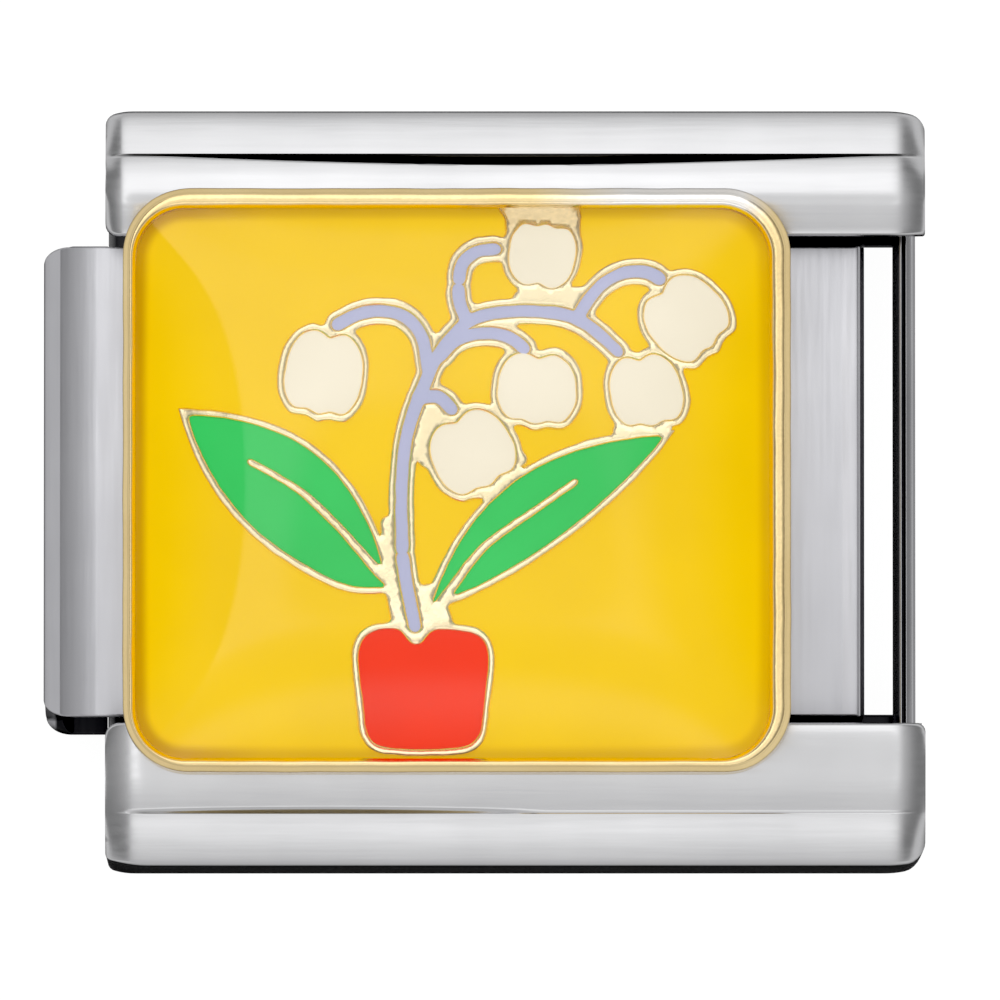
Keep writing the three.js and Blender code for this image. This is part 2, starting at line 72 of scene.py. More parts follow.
# Radii of the rails' corners as seen from above, at the left and the right end.
INNER_CORNERS = {1: (0.14, 0.03), -1: (0.16, 0.1)}
OUTER_CORNERS = {1: (0.09, 0.15), -1: (0.06, 0.2)}
WINDOW_LEFT, WINDOW_FROM, WINDOW_TO = 4.56, -2.62, 3.06
HOLE_CORNER, HOLE_FLARE, HOLE_REACH = 0.05, 0.03, 1.5
TAB_LEFT, TAB_HALF_WIDTH, TAB_HEIGHT, TAB_HOLE_LENGTH = -4.2, 1.2, 1.4, 1.1
TAB_ROOT, TAB_BEND, TAB_CORNER, TAB_UNDERSIDE = 0.3, 0.25, 0.2, 0.02
BAR_LEFT, BAR_RIGHT, BAR_BOTTOM, BAR_TOP = 4.935, 5.195, 1.0, 2.0
BAR_GROOVE_LEFT, BAR_GROOVE_RIGHT, BAR_GROOVE_FLOOR, BAR_EDGE = 5.03, 5.08, 1.3, 0.01
POST_INNER, POST_OUTER, POST_BOTTOM, BAR_OVERLAP = 3.2, 3.45, 0.12, 0.05

PLATE_LEFT, PLATE_RIGHT, PLATE_TOP, PLATE_SHEET = -5.3, 4.575, 2.5, 0.22
PLATE_HALF_WIDTH, PLATE_SHIFT, PLATE_EDGE = 2.83, 0.1, 0.03
PLATE_WEB_FOOT = 0.5
HOOK_BOTTOM, HOOK_END, HOOK_SIDE = 0.08, -4.56, -4.0
HOOK_CORNER, HOOK_CORNER_DEPTH, HOOK_GAIN, HOOK_GAIN_HEIGHTS = 0.3, 0.18, 0.13, (1.3, 0.7)
ROLL_RADIUS, FOLD_RADIUS = 0.34, 0.05
FOLD_THINNING, FOLD_PLACES, FOLD_HEIGHTS = 0.75, (4.38, 4.5), (2.0, 2.15)
GUIDE_LEFT, GUIDE_RIGHT, GUIDE_TOP, GUIDE_HALF_WIDTH, GUIDE_CORNER = -2.2, 4.2, 2.2, 4.05, 0.25

SPRING_LEFT, SPRING_RIGHT = -3.88, 4.32
SPRING_HALF_WIDTH, SPRING_SHEET, SPRING_EDGE, SPRING_FOLDS = 2.2, 0.12, 0.03, 8
SPRING_BOTTOM, SPRING_TOP = 0.32, 1.25

PLAQUE_X, PLAQUE_Y, PLAQUE_LENGTH, PLAQUE_WIDTH, PLAQUE_CORNER = -0.325, 0.036, 8.0, 7.0, 0.8
CAD_PLAQUE_X = -0.31
FIELD_SHIFT = (-0.05, -0.036)
PLAQUE_BOTTOM, FLOOR_TOP = 3.12, 3.462
ENAMEL_TOP = 3.77
FIELD_INSET, CAD_FIELD_INSET = 0.228, 0.33
DOME_INSET, DOME_EDGE, DOME_TOP, DOME_REACH = 0.2, 3.99, 4.55, 1.15
FOOT_LENGTH, FOOT_WIDTH, FOOT_EDGE = 7.0, 5.3, 0.06


# ---- meshes

def mesh_object(name, verts, faces, scale=1.0):
    mesh = bpy.data.meshes.new(name)
    mesh.from_pydata([(x * scale, y * scale, z * scale) for x, y, z in verts], [], faces)
    mesh.update()
    obj = bpy.data.objects.new(name, mesh)
    bpy.context.collection.objects.link(obj)
    return obj


def piece(name, body, slot, material, verts, faces, replaces, crease_angle=40.0):
    """A closed mesh in millimetres, smooth but for edges sharper than the crease angle."""
    obj = mesh_object(name, verts, faces, MM)
    mesh = obj.data
    mesh.polygons.foreach_set("use_smooth", [True] * len(mesh.polygons))
    mesh.set_sharp_from_angle(angle=math.radians(crease_angle))
    mesh.materials.append(material)
    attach(obj, body)
    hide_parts(*replaces)
    return obj


def facing_out(verts, faces):
    """The same closed solid with its faces turned outwards."""
    pts = [Vector(vert) for vert in verts]
    volume = sum(pts[a].dot(pts[b].cross(pts[c]))
                 for a, *rest in faces for b, c in zip(rest, rest[1:]))
    return verts, faces if volume > 0 else [tuple(reversed(face)) for face in faces]


def loft(rings, sheet=False):
    """A closed solid through rings of equally many points.

    The ends of a bent sheet are strips across it, and its quads split along the other diagonal.
    """
    count = len(rings[0])
    last = count * (len(rings) - 1)
    faces = []
    for low in range(0, last, count):
        for i in range(count):
            j = (i + 1) % count
            quad = (low + i, low + j, low + count + j, low + count + i)
            faces.append(quad[1:] + quad[:1] if sheet else quad)
    ends = [tuple(range(count))]
    if sheet:
        ends = [(k, k + 1, count - 2 - k, count - 1 - k) for k in range(count // 2 - 1)]
    for end in ends:
        faces += [end[::-1], tuple(last + i for i in end)]
    return facing_out([point for ring in rings for point in ring], faces)


def joined(*solids):
    """Several solids as the vertices and faces of one."""
    verts, faces = [], []
    for more_verts, more_faces in solids:
        base = len(verts)
        verts.extend(more_verts)
        faces.extend(tuple(base + i for i in face) for face in more_faces)
    return verts, faces


def turtle(start, heading, moves):
    """Points of a line that turns smoothly; a move is its length, its turn and its steps."""
    x, y = start
    points = [(x, y)]
    for length, turn, steps in moves:
        for _ in range(steps):
            middle = math.radians(heading + turn / steps / 2)
            x += length / steps * math.cos(middle)
            y += length / steps * math.sin(middle)
            heading += turn / steps
            points.append((x, y))
    return points


def arc(radius, turn, steps):
    """A move of turtle along an arc."""
    return (radius * math.radians(abs(turn)), turn, steps)


def arc_points(x, y, radius, start, turn, steps):
    """Points of an arc round a centre, from its start angle through its turn."""
    angles = [math.radians(start + turn * k / steps) for k in range(steps + 1)]
    return [(x + radius * math.cos(a), y + radius * math.sin(a)) for a in angles]


def run(start, end, steps):
    """Even steps along a straight line, without its start."""
    return [tuple(a + (b - a) * k / steps for a, b in zip(start, end))
            for k in range(1, steps + 1)]


def rounded_rectangle(x0, x1, y0, y1, radius, steps, side_steps=(1, 1)):
    """Its outline, anticlockwise from the right; side_steps divide the two kinds of side."""
    x0, x1, y0, y1 = x0 + radius, x1 - radius, y0 + radius, y1 - radius
    centres = [(x1, y1), (x0, y1), (x0, y0), (x1, y0)]
    points = []
    for i, (x, y) in enumerate(centres):
        points += arc_points(x, y, radius, 90 * i, 90, steps)
        end = arc_points(*centres[(i + 1) % 4], radius, 90 * i + 90, 0, 1)[0]
        points += run(points[-1], end, side_steps[i % 2])[:-1]
    return points


def corner_pull(distance, radius):
    """How far a round corner draws an edge in, at a distance from where the edge ends."""
    rest = radius - min(max(distance, 0.0), radius)
    return radius - math.sqrt(radius ** 2 - rest ** 2)


def normals_of(points, closed=True):
    """Unit normals on the right of the direction of travel."""
    pts = np.array(points, dtype=float)
    if closed:
        along = np.roll(pts, -1, axis=0) - np.roll(pts, 1, axis=0)
    else:
        along = np.gradient(pts, axis=0)
    along /= np.maximum(np.linalg.norm(along, axis=1, keepdims=True), 1e-12)
    return np.stack([along[:, 1], -along[:, 0]], axis=1)


def smooth_step(low, high, value):
    t = min(max((value - low) / (high - low), 0.0), 1.0)
    return t * t * (3 - 2 * t)


def rounded_box(x0, x1, y0, y1, z0, z1, radius=0.03, steps=3):
    """A block whose upright edges and whose top and bottom edges are rounded."""
    def ring(inset, z):
        corner = max(radius - inset, 0.002) + 0.01
        return [(x, y, z) for x, y in rounded_rectangle(
            x0 + inset, x1 - inset, y0 + inset, y1 - inset, corner, steps)]

    profile = arc_points(radius, z0 + radius, radius, -90, -90, steps)
    profile += arc_points(radius, z1 - radius, radius, 180, -90, steps)
    return loft([ring(inset, z) for inset, z in profile])


def border(faces):
    """The directed edges that only one of the faces has."""
    edges = {}
    for face in faces:
        for a, b in zip(face, face[1:] + face[:1]):
            if (b, a) in edges:
                del edges[b, a]
            else:
                edges[a, b] = True
    return list(edges)


# ---- materials

BUMP_STRENGTH = 0.5
CLOUD_WAVES, SPECK_WAVES, SPECK_SHARE, SPECK_SHADE = 0.7, 9.0, 0.06, 0.45
# Painted shade darkens the enamel near the rim: distances in from the rim, and fading to the right.
RIM_SHADE_INSETS, RIM_SHADE_PLACES, RIM_SHADE_SHARES = (0.43, 0.29), (-3.6, -2.6), (1.0, 0.55)
RIM_SHADE_COLOUR = (0.66, 0.56, 0.78)


def feed(tree, node, sockets):
    """Links each of the node's sockets to an output, or sets it to a constant."""
    for key, value in sockets.items():
        if isinstance(value, bpy.types.NodeSocket):
            tree.links.new(value, node.inputs[key])
        else:
            node.inputs[key].default_value = value
    return node


def new_material(name, **values):
    """A Principled material; keyword names are socket names with _ for a space."""
    mat = bpy.data.materials.new(name)
    mat.use_nodes = True
    shader = mat.node_tree.nodes["Principled BSDF"]
    for key, value in values.items():
        shader.inputs[key.replace("_", " ")].default_value = value
    return mat, mat.node_tree, shader


def object_place(tree):
    return tree.nodes.new("ShaderNodeTexCoord").outputs["Object"]


def axes(tree, place):
    """The X, Y and Z outputs of a place."""
    split = tree.nodes.new("ShaderNodeSeparateXYZ")
    tree.links.new(place, split.inputs[0])
    return split.outputs


def remapped(tree, value, low, high, to=(0.0, 1.0), smooth=False):
    """A value brought from one range to another, and kept within it."""
    node = tree.nodes.new("ShaderNodeMapRange")
    if smooth:
        node.interpolation_type = "SMOOTHSTEP"
    feed(tree, node, {"Value": value, "From Min": low, "From Max": high, "To Min": to[0],
                      "To Max": to[1]})
    return node.outputs["Result"]


def noise_field(tree, scale, stretch=(1, 1, 1), detail=3.0, low=0.3, high=0.7, to=(0.0, 1.0)):
    """A noise in object space, with scale in waves per millimetre, remapped to a range."""
    mapping = feed(tree, tree.nodes.new("ShaderNodeMapping"), {
        "Vector": object_place(tree), "Scale": [s * scale / MM for s in stretch]})
    texture = feed(tree, tree.nodes.new("ShaderNodeTexNoise"), {
        "Vector": mapping.outputs["Vector"], "Scale": 1.0, "Detail": detail})
    return remapped(tree, texture.outputs["Fac"], low, high, to)


def maths(tree, operation, *values):
    """The result of one Math node; a value is a number or another node's output."""
    node = tree.nodes.new("ShaderNodeMath")
    node.operation = operation
    return feed(tree, node, dict(enumerate(values))).outputs[0]


def mixed_colour(tree, factor, first, second, blend="MIX"):
    """A mix of two colours; a colour is three numbers or another node's output."""
    mix = tree.nodes.new("ShaderNodeMix")
    mix.data_type = "RGBA"
    mix.blend_type = blend
    first, second = ((*c, 1.0) if isinstance(c, tuple) else c for c in (first, second))
    return feed(tree, mix, {0: factor, 6: first, 7: second}).outputs[2]


def metal(name, light, dark, rough, stretch, grain, bump=0.004, anisotropic=0.0):
    """Metal with a fine grain, short along its strokes; they run along Y if anisotropic."""
    mat, tree, shader = new_material(name, Metallic=1.0, Anisotropic=anisotropic)
    relief = feed(tree, tree.nodes.new("ShaderNodeBump"), {
        "Height": noise_field(tree, grain, stretch), "Strength": BUMP_STRENGTH,
        "Distance": bump * MM})
    feed(tree, shader, {
        "Base Color": mixed_colour(tree, noise_field(tree, 0.9, detail=2.0), light, dark),
        "Roughness": noise_field(tree, grain, stretch, detail=4.0, to=rough),
        "Normal": relief.outputs["Normal"]})
    if anisotropic:
        way = feed(tree, tree.nodes.new("ShaderNodeCombineXYZ"), {"Y": 1.0})
        tree.links.new(way.outputs["Vector"], shader.inputs["Tangent"])
    return mat


def paint_shade_and_wear_where(mat, ranges, shade=(0.025, 0.025, 0.027)):
    """Another colour where the ranges meet, near-black painted shade by default; each fades in along
    an axis, |Y by distance.
    """
    tree = mat.node_tree
    shader = tree.nodes["Principled BSDF"]
    place = axes(tree, object_place(tree))
    fades = []
    for axis, outside, within in ranges:
        value = place[axis[-1]]
        if axis[0] == "|":
            value = maths(tree, "ABSOLUTE", value)
        fades.append(remapped(tree, value, outside * MM, within * MM))
    mask = fades[0]
    for fade in fades[1:]:
        mask = maths(tree, "MULTIPLY", mask, fade)
    colour = shader.inputs["Base Color"].links[0].from_socket
    tree.links.new(mixed_colour(tree, mask, colour, shade), shader.inputs["Base Color"])
    return mat


def near_edge(tree):
    """How near a place of the picture is to the rim, where painted shade darkens the enamel."""
    place = axes(tree, object_place(tree))
    squares = []
    for axis, middle, size in (("X", PLAQUE_X + FIELD_SHIFT[0], PLAQUE_LENGTH),
                               ("Y", PLAQUE_Y + FIELD_SHIFT[1], PLAQUE_WIDTH)):
        off = maths(tree, "ABSOLUTE", maths(tree, "SUBTRACT", place[axis], middle * MM))
        past = maths(tree, "SUBTRACT", off, (size / 2 - PLAQUE_CORNER) * MM)
        past = maths(tree, "MAXIMUM", past, 0.0)
        squares.append(maths(tree, "MULTIPLY", past, past))
    reach = maths(tree, "SQRT", maths(tree, "ADD", *squares))
    low, high = ((PLAQUE_CORNER - inset) * MM for inset in RIM_SHADE_INSETS)
    fade = remapped(tree, reach, low, high, smooth=True)
    left = remapped(tree, place["X"], *(x * MM for x in RIM_SHADE_PLACES), to=RIM_SHADE_SHARES)
    return maths(tree, "MULTIPLY", fade, left)


def enamel(name, light, dark):
    """Opaque fired colour: a little cloudy, with a rare fine speck and painted shade near the rim."""
    mat, tree, shader = new_material(name, Roughness=0.5, Specular_IOR_Level=0.0)
    colour = mixed_colour(tree, noise_field(tree, CLOUD_WAVES, detail=2.5), light, dark)
    specks = noise_field(tree, SPECK_WAVES, detail=1.0, low=0.72, high=0.8, to=(0.0, SPECK_SHARE))
    colour = mixed_colour(tree, specks, colour, tuple(SPECK_SHADE * c for c in dark))
    # Painted shade: the colour is multiplied darker near the rim, most at the left.
    colour = mixed_colour(tree, near_edge(tree), colour, RIM_SHADE_COLOUR, blend="MULTIPLY")
    tree.links.new(colour, shader.inputs["Base Color"])
    return mat


def resin():
    mat, tree, shader = new_material("clear_resin", Roughness=0.0, IOR=1.5,
                                     Transmission_Weight=1.0, Specular_IOR_Level=0.65)
    feed(tree, shader, {
        "Roughness": noise_field(tree, 0.6, detail=1.0, to=(0.0, 0.02)),
        "Base Color": mixed_colour(tree, noise_field(tree, 0.5, detail=1.0),
                                   (1.0, 1.0, 1.0), (0.99, 0.985, 0.97))})
    return mat


# Painted shade: inside the channel, above the back sheet and below the rails' tops, within the walls
# and ends, the steel is painted near black.
STEEL_RAIL = paint_shade_and_wear_where(
    metal("polished_steel", (0.64, 0.64, 0.65), (0.6, 0.6, 0.61), (0.17, 0.24), (0.05, 1, 1),
          14.0, bump=0.0006),
    [("Z", 0.24, 0.28), ("Z", 2.74, 2.7), ("|Y", 4.26, 4.22), ("X", -4.6, -4.56),
     ("X", 5.25, 4.95)])
# Painted shade: the bar's groove is painted near black below the bar's top.
STEEL_BAR = paint_shade_and_wear_where(
    metal("folded_steel", (0.6, 0.6, 0.62), (0.55, 0.55, 0.57), (0.14, 0.24), (1, 0.05, 1),
          14.0, bump=0.0006),
    [("Z", 1.96, 1.92), ("X", 5.02, 5.025), ("X", 5.09, 5.085)])
# Painted shade: the plate's lower parts, its hook and web, are painted near black.
STEEL_PLATE = paint_shade_and_wear_where(
    metal("brushed_steel", (0.585, 0.585, 0.61), (0.545, 0.545, 0.57), (0.3, 0.38), (1, 0.04, 1),
          18.0, bump=0.0005, anisotropic=0.75),
    [("Z", 1.9, 1.85), ("X", -5.2, -5.17), ("X", 4.4, 4.36)])
# Painted shade: near-black steel for the guides, so that the gaps round the plate show black.
STEEL_PAINTED_SHADE = metal(
    "shade_painted_steel", (0.03, 0.03, 0.032), (0.02, 0.02, 0.022), (0.4, 0.5), (1, 0.2, 1), 12.0)
SPRING_STEEL = metal(
    "spring_steel", (0.5, 0.49, 0.48), (0.42, 0.41, 0.4), (0.25, 0.36), (0.2, 0.2, 1), 12.0)
GOLD_GRAIN = ((0.14, 0.24), (1, 1, 1), 16.0, 0.0015)
# Painted shade: the gold walls darken to tan towards the picture's top edge.
GOLD = paint_shade_and_wear_where(
    metal("gold_plate", (1.0, 0.87, 0.58), (0.95, 0.81, 0.5), *GOLD_GRAIN),
    [("Y", 2.7, 3.1)], (0.8, 0.63, 0.36))
# Worn plating: the rim's gold shows silver at the upper right.
GOLD_RIM = paint_shade_and_wear_where(
    metal("gold_rim", (0.95, 0.75, 0.4), (0.89, 0.68, 0.34), *GOLD_GRAIN),
    [("Y", 3.1, 3.3), ("X", 0.6, 1.7), ("X", 3.5, 3.1), ("Z", 3.85, 3.95)], (0.9, 0.87, 0.83))
ENAMELS = {
    "yellow": enamel("yellow_enamel", (0.875, 0.565, 0.001), (0.83, 0.53, 0.001)),
    "green": enamel("green_enamel", (0.035, 0.55, 0.11), (0.03, 0.5, 0.095)),
    "red": enamel("red_enamel", (0.86, 0.035, 0.004), (0.8, 0.03, 0.004)),
    "ivory": enamel("ivory_enamel", (0.85, 0.78, 0.62), (0.8, 0.73, 0.57)),
    "lilac": enamel("lilac_enamel", (0.45, 0.46, 0.64), (0.4, 0.42, 0.58)),
}
RESIN = resin()


# ---- outer frame

# Lean of a rail's flat at shares of its width, from the lip to the crease.
FLAT_TILTS = {1: ((0.0, -11.0), (0.33, -8.0), (0.5, 3.5), (0.72, 11.0), (0.87, 23.0), (1.0, 25.0)),
              -1: ((0.0, -3.0), (0.33, 2.0), (0.5, 4.0), (0.82, 8.5), (1.0, 11.0))}
FLAT_PLACES = (0.0, 0.33, 0.5, 0.68)
SHOULDER_TILTS, SHOULDER_LENGTH = (14.0, 25.0), {1: 0.49, -1: 0.592}
CREASE_ZONE, CREASE_EDGE = 0.16, 0.02
# Steps of the section's line: lip, flat, crease to wall, and wall to mid-back.
LIP_STEPS, FLAT_STEPS, SHOULDER_STEPS, BACK_STEPS = 6, (4, 6, 6, 6, 16), (2, 12, 8), (10, 8, 12)
CREASE_INDEX = LIP_STEPS + sum(FLAT_STEPS)
WALL_INDEX = CREASE_INDEX + sum(SHOULDER_STEPS)
# The first points keep to one outward direction, so that the lip stays round.
LIP_POINTS = LIP_STEPS + 2
END_ZONE, END_STEPS, MIDDLE_STEPS = 0.5, 10, 60
PLAN_MARGIN = 0.05
# A crease has a span and sharpness, its least width, its gain in width, and its steepness.
CREASES = {1: ((-4.2, 5.0, 1.2), 0.02, 0.11, 1.9), -1: ((-4.4, 0.6, 0.5), 0.025, 0.05, 0.6)}
CREASE_LEAST_DEPTH, CREASE_POWER, CREASE_END_DROP = 0.006, 1.1, 0.05
# Painted shade in a crease: where it starts, is full, begins to fade and ends, and its grey.
PAINTED_CREASE_SHADE = {1: (-4.5, -4.2, 5.0, 5.2, 0.14), -1: (-4.3, -4.1, -1.6, 0.4, 0.5)}
CREASE_SHADE_BAND, CREASE_SHADE_FADE, CREASE_SHADE_HEIGHTS = (-0.02, 0.012), 0.003, (2.3, 2.4)


def rail_path(side):
    """Outer side of the frame's section from a rail's lip, over the shoulder, to mid-back."""
    shares, tilts = zip(*FLAT_TILTS[side])
    tilt, last_tilt = SHOULDER_TILTS

    def moves(flat_length, side_length):
        places = [*FLAT_PLACES, 1.0 - CREASE_ZONE / flat_length, 1.0]
        leans = [float(np.interp(place, shares, tilts)) for place in places]
        flat = [((b - a) * flat_length, s - t, steps) for a, b, s, t, steps
                in zip(places, places[1:], leans, leans[1:], FLAT_STEPS)]
        return [
            arc(LIP_RADIUS, -(90 + tilts[0]), LIP_STEPS), *flat,
            (CREASE_EDGE, tilts[-1] - tilt, SHOULDER_STEPS[0]),
            (SHOULDER_LENGTH[side], tilt - last_tilt, SHOULDER_STEPS[1]),
            arc(SHOULDER_RADIUS, last_tilt - 90, SHOULDER_STEPS[2]),
            (side_length, 0.0, BACK_STEPS[0]),
            arc(BACK_RADIUS, -90.0, BACK_STEPS[1]),
            (FRAME_HALF_WIDTH - BACK_RADIUS, 0.0, BACK_STEPS[2]),
        ]

    lip = RAIL_LIPS[side]
    flat = 1.0
    for _ in range(3):
        trial = turtle((lip, FRAME_HEIGHT), 90.0, moves(flat, 1.0))
        flat += FRAME_HALF_WIDTH - trial[WALL_INDEX][0]
    lift = FRAME_HEIGHT - max(z for _, z in trial)
    wall = trial[WALL_INDEX][1] + lift - BACK_RADIUS
    return turtle((lip, FRAME_HEIGHT + lift), 90.0, moves(flat, wall))


def inner_path(outer, lip):
    """Inner side of the section, with a point across from each point of the outer side."""
    wall, floor = FRAME_HALF_WIDTH - FRAME_SHEET, FRAME_SHEET
    roof = FRAME_HEIGHT - FRAME_SHEET - ROOF_FALL
    shoulder, corner = (wall - HOLLOW_SHOULDER, roof - HOLLOW_SHOULDER), wall - HOLLOW_CORNER
    edge = outer[CREASE_INDEX][0]
    points = []
    for y, _ in outer[:CREASE_INDEX + 1]:
        share = min(max((y - lip) / (edge - lip), 0.0), 1.0)
        points.append((lip + share * (shoulder[0] - lip), roof + ROOF_FALL * (1 - share)))
    points += arc_points(*shoulder, HOLLOW_SHOULDER, 90, -90, sum(SHOULDER_STEPS))[1:]
    points += run((wall, shoulder[1]), (wall, floor + HOLLOW_CORNER), BACK_STEPS[0])
    points += arc_points(corner, floor + HOLLOW_CORNER, HOLLOW_CORNER, 0, -90, BACK_STEPS[1])[1:]
    points += run((corner, floor), (0.0, floor), BACK_STEPS[2])
    return np.array(points)


def lens(x, start, end, sharpness):
    """A hump from 0 to 1 and back between two places along the rail."""
    t = min(max((x - start) / (end - start), 0.0), 1.0)
    return math.sin(math.pi * t) ** sharpness


def crease(side, x):
    """Width and depth of the pressed crease between a rail's flat and its shoulder."""
    span, least_width, gain, steepness = CREASES[side]
    grow = lens(x, *span)
    width = least_width + gain * grow
    share = smooth_step(-0.15, 0.45, grow) if side > 0 else grow
    return width, steepness * width * share + CREASE_LEAST_DEPTH


def darken_creases():
    """Painted shade in the bottom of the pressed creases."""
    for side, (start, full, fade, end, grey) in PAINTED_CREASE_SHADE.items():
        edge = rail_path(side)[CREASE_INDEX][0]
        low, high = sorted(side * (edge + offset) for offset in CREASE_SHADE_BAND)
        paint_shade_and_wear_where(STEEL_RAIL, [
            ("Y", low - CREASE_SHADE_FADE, low), ("Y", high + CREASE_SHADE_FADE, high), ("Z", *CREASE_SHADE_HEIGHTS),
            ("X", start, full), ("X", end, fade)], (grey, grey, grey))


def frame_stations():
    """Places along the frame, closer together at its rounded ends."""
    eased = [END_ZONE * (1 - math.cos(math.radians(90 * k / END_STEPS)))
             for k in range(END_STEPS + 1)]
    middle = np.linspace(FRAME_LEFT + END_ZONE, FRAME_RIGHT - END_ZONE, MIDDLE_STEPS + 1)[1:-1]
    return [*(FRAME_LEFT + e for e in eased), *middle, *(FRAME_RIGHT - e for e in eased[::-1])]


def end_roll(x, side, outer=True):
    """How far the surface turns in near an end of the frame."""
    for distance, (reach, drop, power) in (
            (x - FRAME_LEFT, LEFT_ROLLS[side]), (FRAME_RIGHT - x, RIGHT_ROLL)):
        if distance < reach:
            return (1.0 - distance / reach) ** power * (drop if outer else HOLLOW_ROLL)
    return 0.0


def corner_cut(x, left, right):
    """How far the corners at the frame's ends draw a straight edge in at a place."""
    return corner_pull(x - FRAME_LEFT, left) + corner_pull(FRAME_RIGHT - x, right)


def rounded_plan(side, x, y, z, edge):
    """How far out a point of the section lies, with the rails' corners seen from above cut."""
    if y > edge:
        share = min((y - edge) / (FRAME_HALF_WIDTH - edge - PLAN_MARGIN), 1.0)
        return y - share * corner_cut(x, *OUTER_CORNERS[side])
    if z > BACK_ZONE[1]:
        share = 1.0 - corner_cut(x, *INNER_CORNERS[side]) / (edge - RAIL_LIPS[side])
        return edge - (edge - y) * share
    return y


def half_section(side, x, outer, outward, hollow, inward):
    """Outer and inner side of one half of the frame's section, at a place along it."""
    drop, back = end_roll(x, side), end_roll(x, 0)
    near_back = np.interp(outer[:, 1:], BACK_ZONE, (1.0, 0.0))
    rail = outer - outward * (drop + (back - drop) * near_back)
    under = hollow - inward * end_roll(x, 0, outer=False)
    width, depth = crease(side, x)
    depth *= 1.0 - min(drop / CREASE_END_DROP, 1.0)
    edge = outer[CREASE_INDEX][0]
    for i in range(LIP_POINTS, CREASE_INDEX + 1):
        into = (outer[i][0] - (edge - width)) / width
        if into > 0:
            rail[i][1] -= depth * into ** CREASE_POWER
    return [[(x, side * rounded_plan(side, x, y, z, edge), z) for y, z in line]
            for line in (rail, under)]


def channel():
    """The folded sheet of the frame, from the top rail's lip round to the bottom rail's."""
    halves = []
    for side in (1, -1):
        outer = np.array(rail_path(side))
        outward = normals_of(outer, closed=False) * -1.0
        outward[:LIP_POINTS] = outward[LIP_POINTS]
        hollow = inner_path(outer, RAIL_LIPS[side])
        halves.append((side, outer, outward, hollow, normals_of(hollow, closed=False)))
    rings = []
    for x in frame_stations():
        top, bottom = (half_section(half[0], x, *half[1:]) for half in halves)
        outside, inside_line = (a + b[::-1][1:] for a, b in zip(top, bottom))
        rings.append(outside + inside_line[::-1])
    return loft(rings, sheet=True)


def cutter(x0, x1, y0, y1):
    """A hole's tool, flared at both faces of the back sheet so that the edges are broken."""
    def ring(grow, z):
        return [(x, y, z) for x, y in rounded_rectangle(
            x0 - grow, x1 + grow, y0 - grow, y1 + grow, HOLE_CORNER + grow, 5)]

    wide, top = 2 * HOLE_FLARE, FRAME_SHEET
    return loft([ring(wide, -HOLE_FLARE), ring(0.0, HOLE_FLARE), ring(0.0, top - HOLE_FLARE),
                 ring(wide, top + HOLE_FLARE)])


def carved(name, solid, cutters):
    """Vertices and faces of a solid with the cutters taken out of it."""
    body = mesh_object(name, *solid)
    tools = [mesh_object(f"{name}_tool_{i}", *tool) for i, tool in enumerate(cutters)]
    for tool in tools:
        modifier = body.modifiers.new("cut", "BOOLEAN")
        modifier.operation = "DIFFERENCE"
        modifier.solver = "MANIFOLD"
        modifier.object = tool
    bpy.context.view_layer.update()
    evaluated = body.evaluated_get(bpy.context.evaluated_depsgraph_get())
    result = evaluated.to_mesh()
    verts = [tuple(v.co) for v in result.vertices]
    faces = [tuple(p.vertices) for p in result.polygons]
    evaluated.to_mesh_clear()
    for obj in (body, *tools):
        bpy.data.meshes.remove(obj.data)
    return verts, faces


def spring_tab():
    """The tongue bent up out of the back sheet, with a round bend and round top corners."""
    half = FRAME_SHEET / 2
    root = TAB_LEFT - TAB_ROOT
    section = [
        (root, TAB_UNDERSIDE), (TAB_LEFT + 0.05, TAB_UNDERSIDE),
        *arc_points(TAB_LEFT + FRAME_SHEET - TAB_BEND, TAB_UNDERSIDE + TAB_BEND, TAB_BEND, -90, 90, 5),
        *arc_points(TAB_LEFT + half, TAB_HEIGHT - half, half, 0, 180, 6),
        (TAB_LEFT, 0.5), (TAB_LEFT - 0.02, 0.38), (TAB_LEFT - 0.08, 0.29), (root, 0.28)]
    rings = []
    for y in np.linspace(-TAB_HALF_WIDTH, TAB_HALF_WIDTH, 25):
        pull = corner_pull(TAB_HALF_WIDTH - abs(y), TAB_CORNER)
        rings.append([(x, y, z - pull * smooth_step(0.5, TAB_HEIGHT, z)) for x, z in section])
    return loft(rings)


def rounded(points, radius):
    """A closed outline with its corners eased."""
    out = []
    for a, b, c in zip(points[-1:] + points[:-1], points, points[1:] + points[:1]):
        before = (Vector(a) - Vector(b)).normalized() * radius
        after = (Vector(c) - Vector(b)).normalized() * radius
        for k in range(5):
            t = k / 4
            out.append(tuple(Vector(b) + before * (1 - t) ** 2 + after * t ** 2))
    return out


def crossbar():
    """The folded bar: a thin lip, a narrow groove and a sloping top, and the posts' ends."""
    left, right, floor = BAR_GROOVE_LEFT, BAR_GROOVE_RIGHT, BAR_GROOVE_FLOOR
    outline = rounded([
        (BAR_LEFT, BAR_BOTTOM), (BAR_RIGHT, BAR_BOTTOM), (BAR_RIGHT, BAR_TOP - 0.1),
        (BAR_RIGHT - 0.035, BAR_TOP - 0.04), (right, BAR_TOP), (right, floor), (left, floor),
        (left, BAR_TOP), (left - 0.03, BAR_TOP - 0.01)], BAR_EDGE)
    end = POST_INNER + BAR_OVERLAP
    bar = loft([[(x, y, z) for x, z in outline] for y in np.linspace(-end, end, 66)])
    posts = [rounded_box(BAR_LEFT, BAR_RIGHT, y0, y1, POST_BOTTOM, BAR_TOP)
             for y0, y1 in ((POST_INNER, POST_OUTER), (-POST_OUTER, -POST_INNER))]
    return joined(bar, *posts)


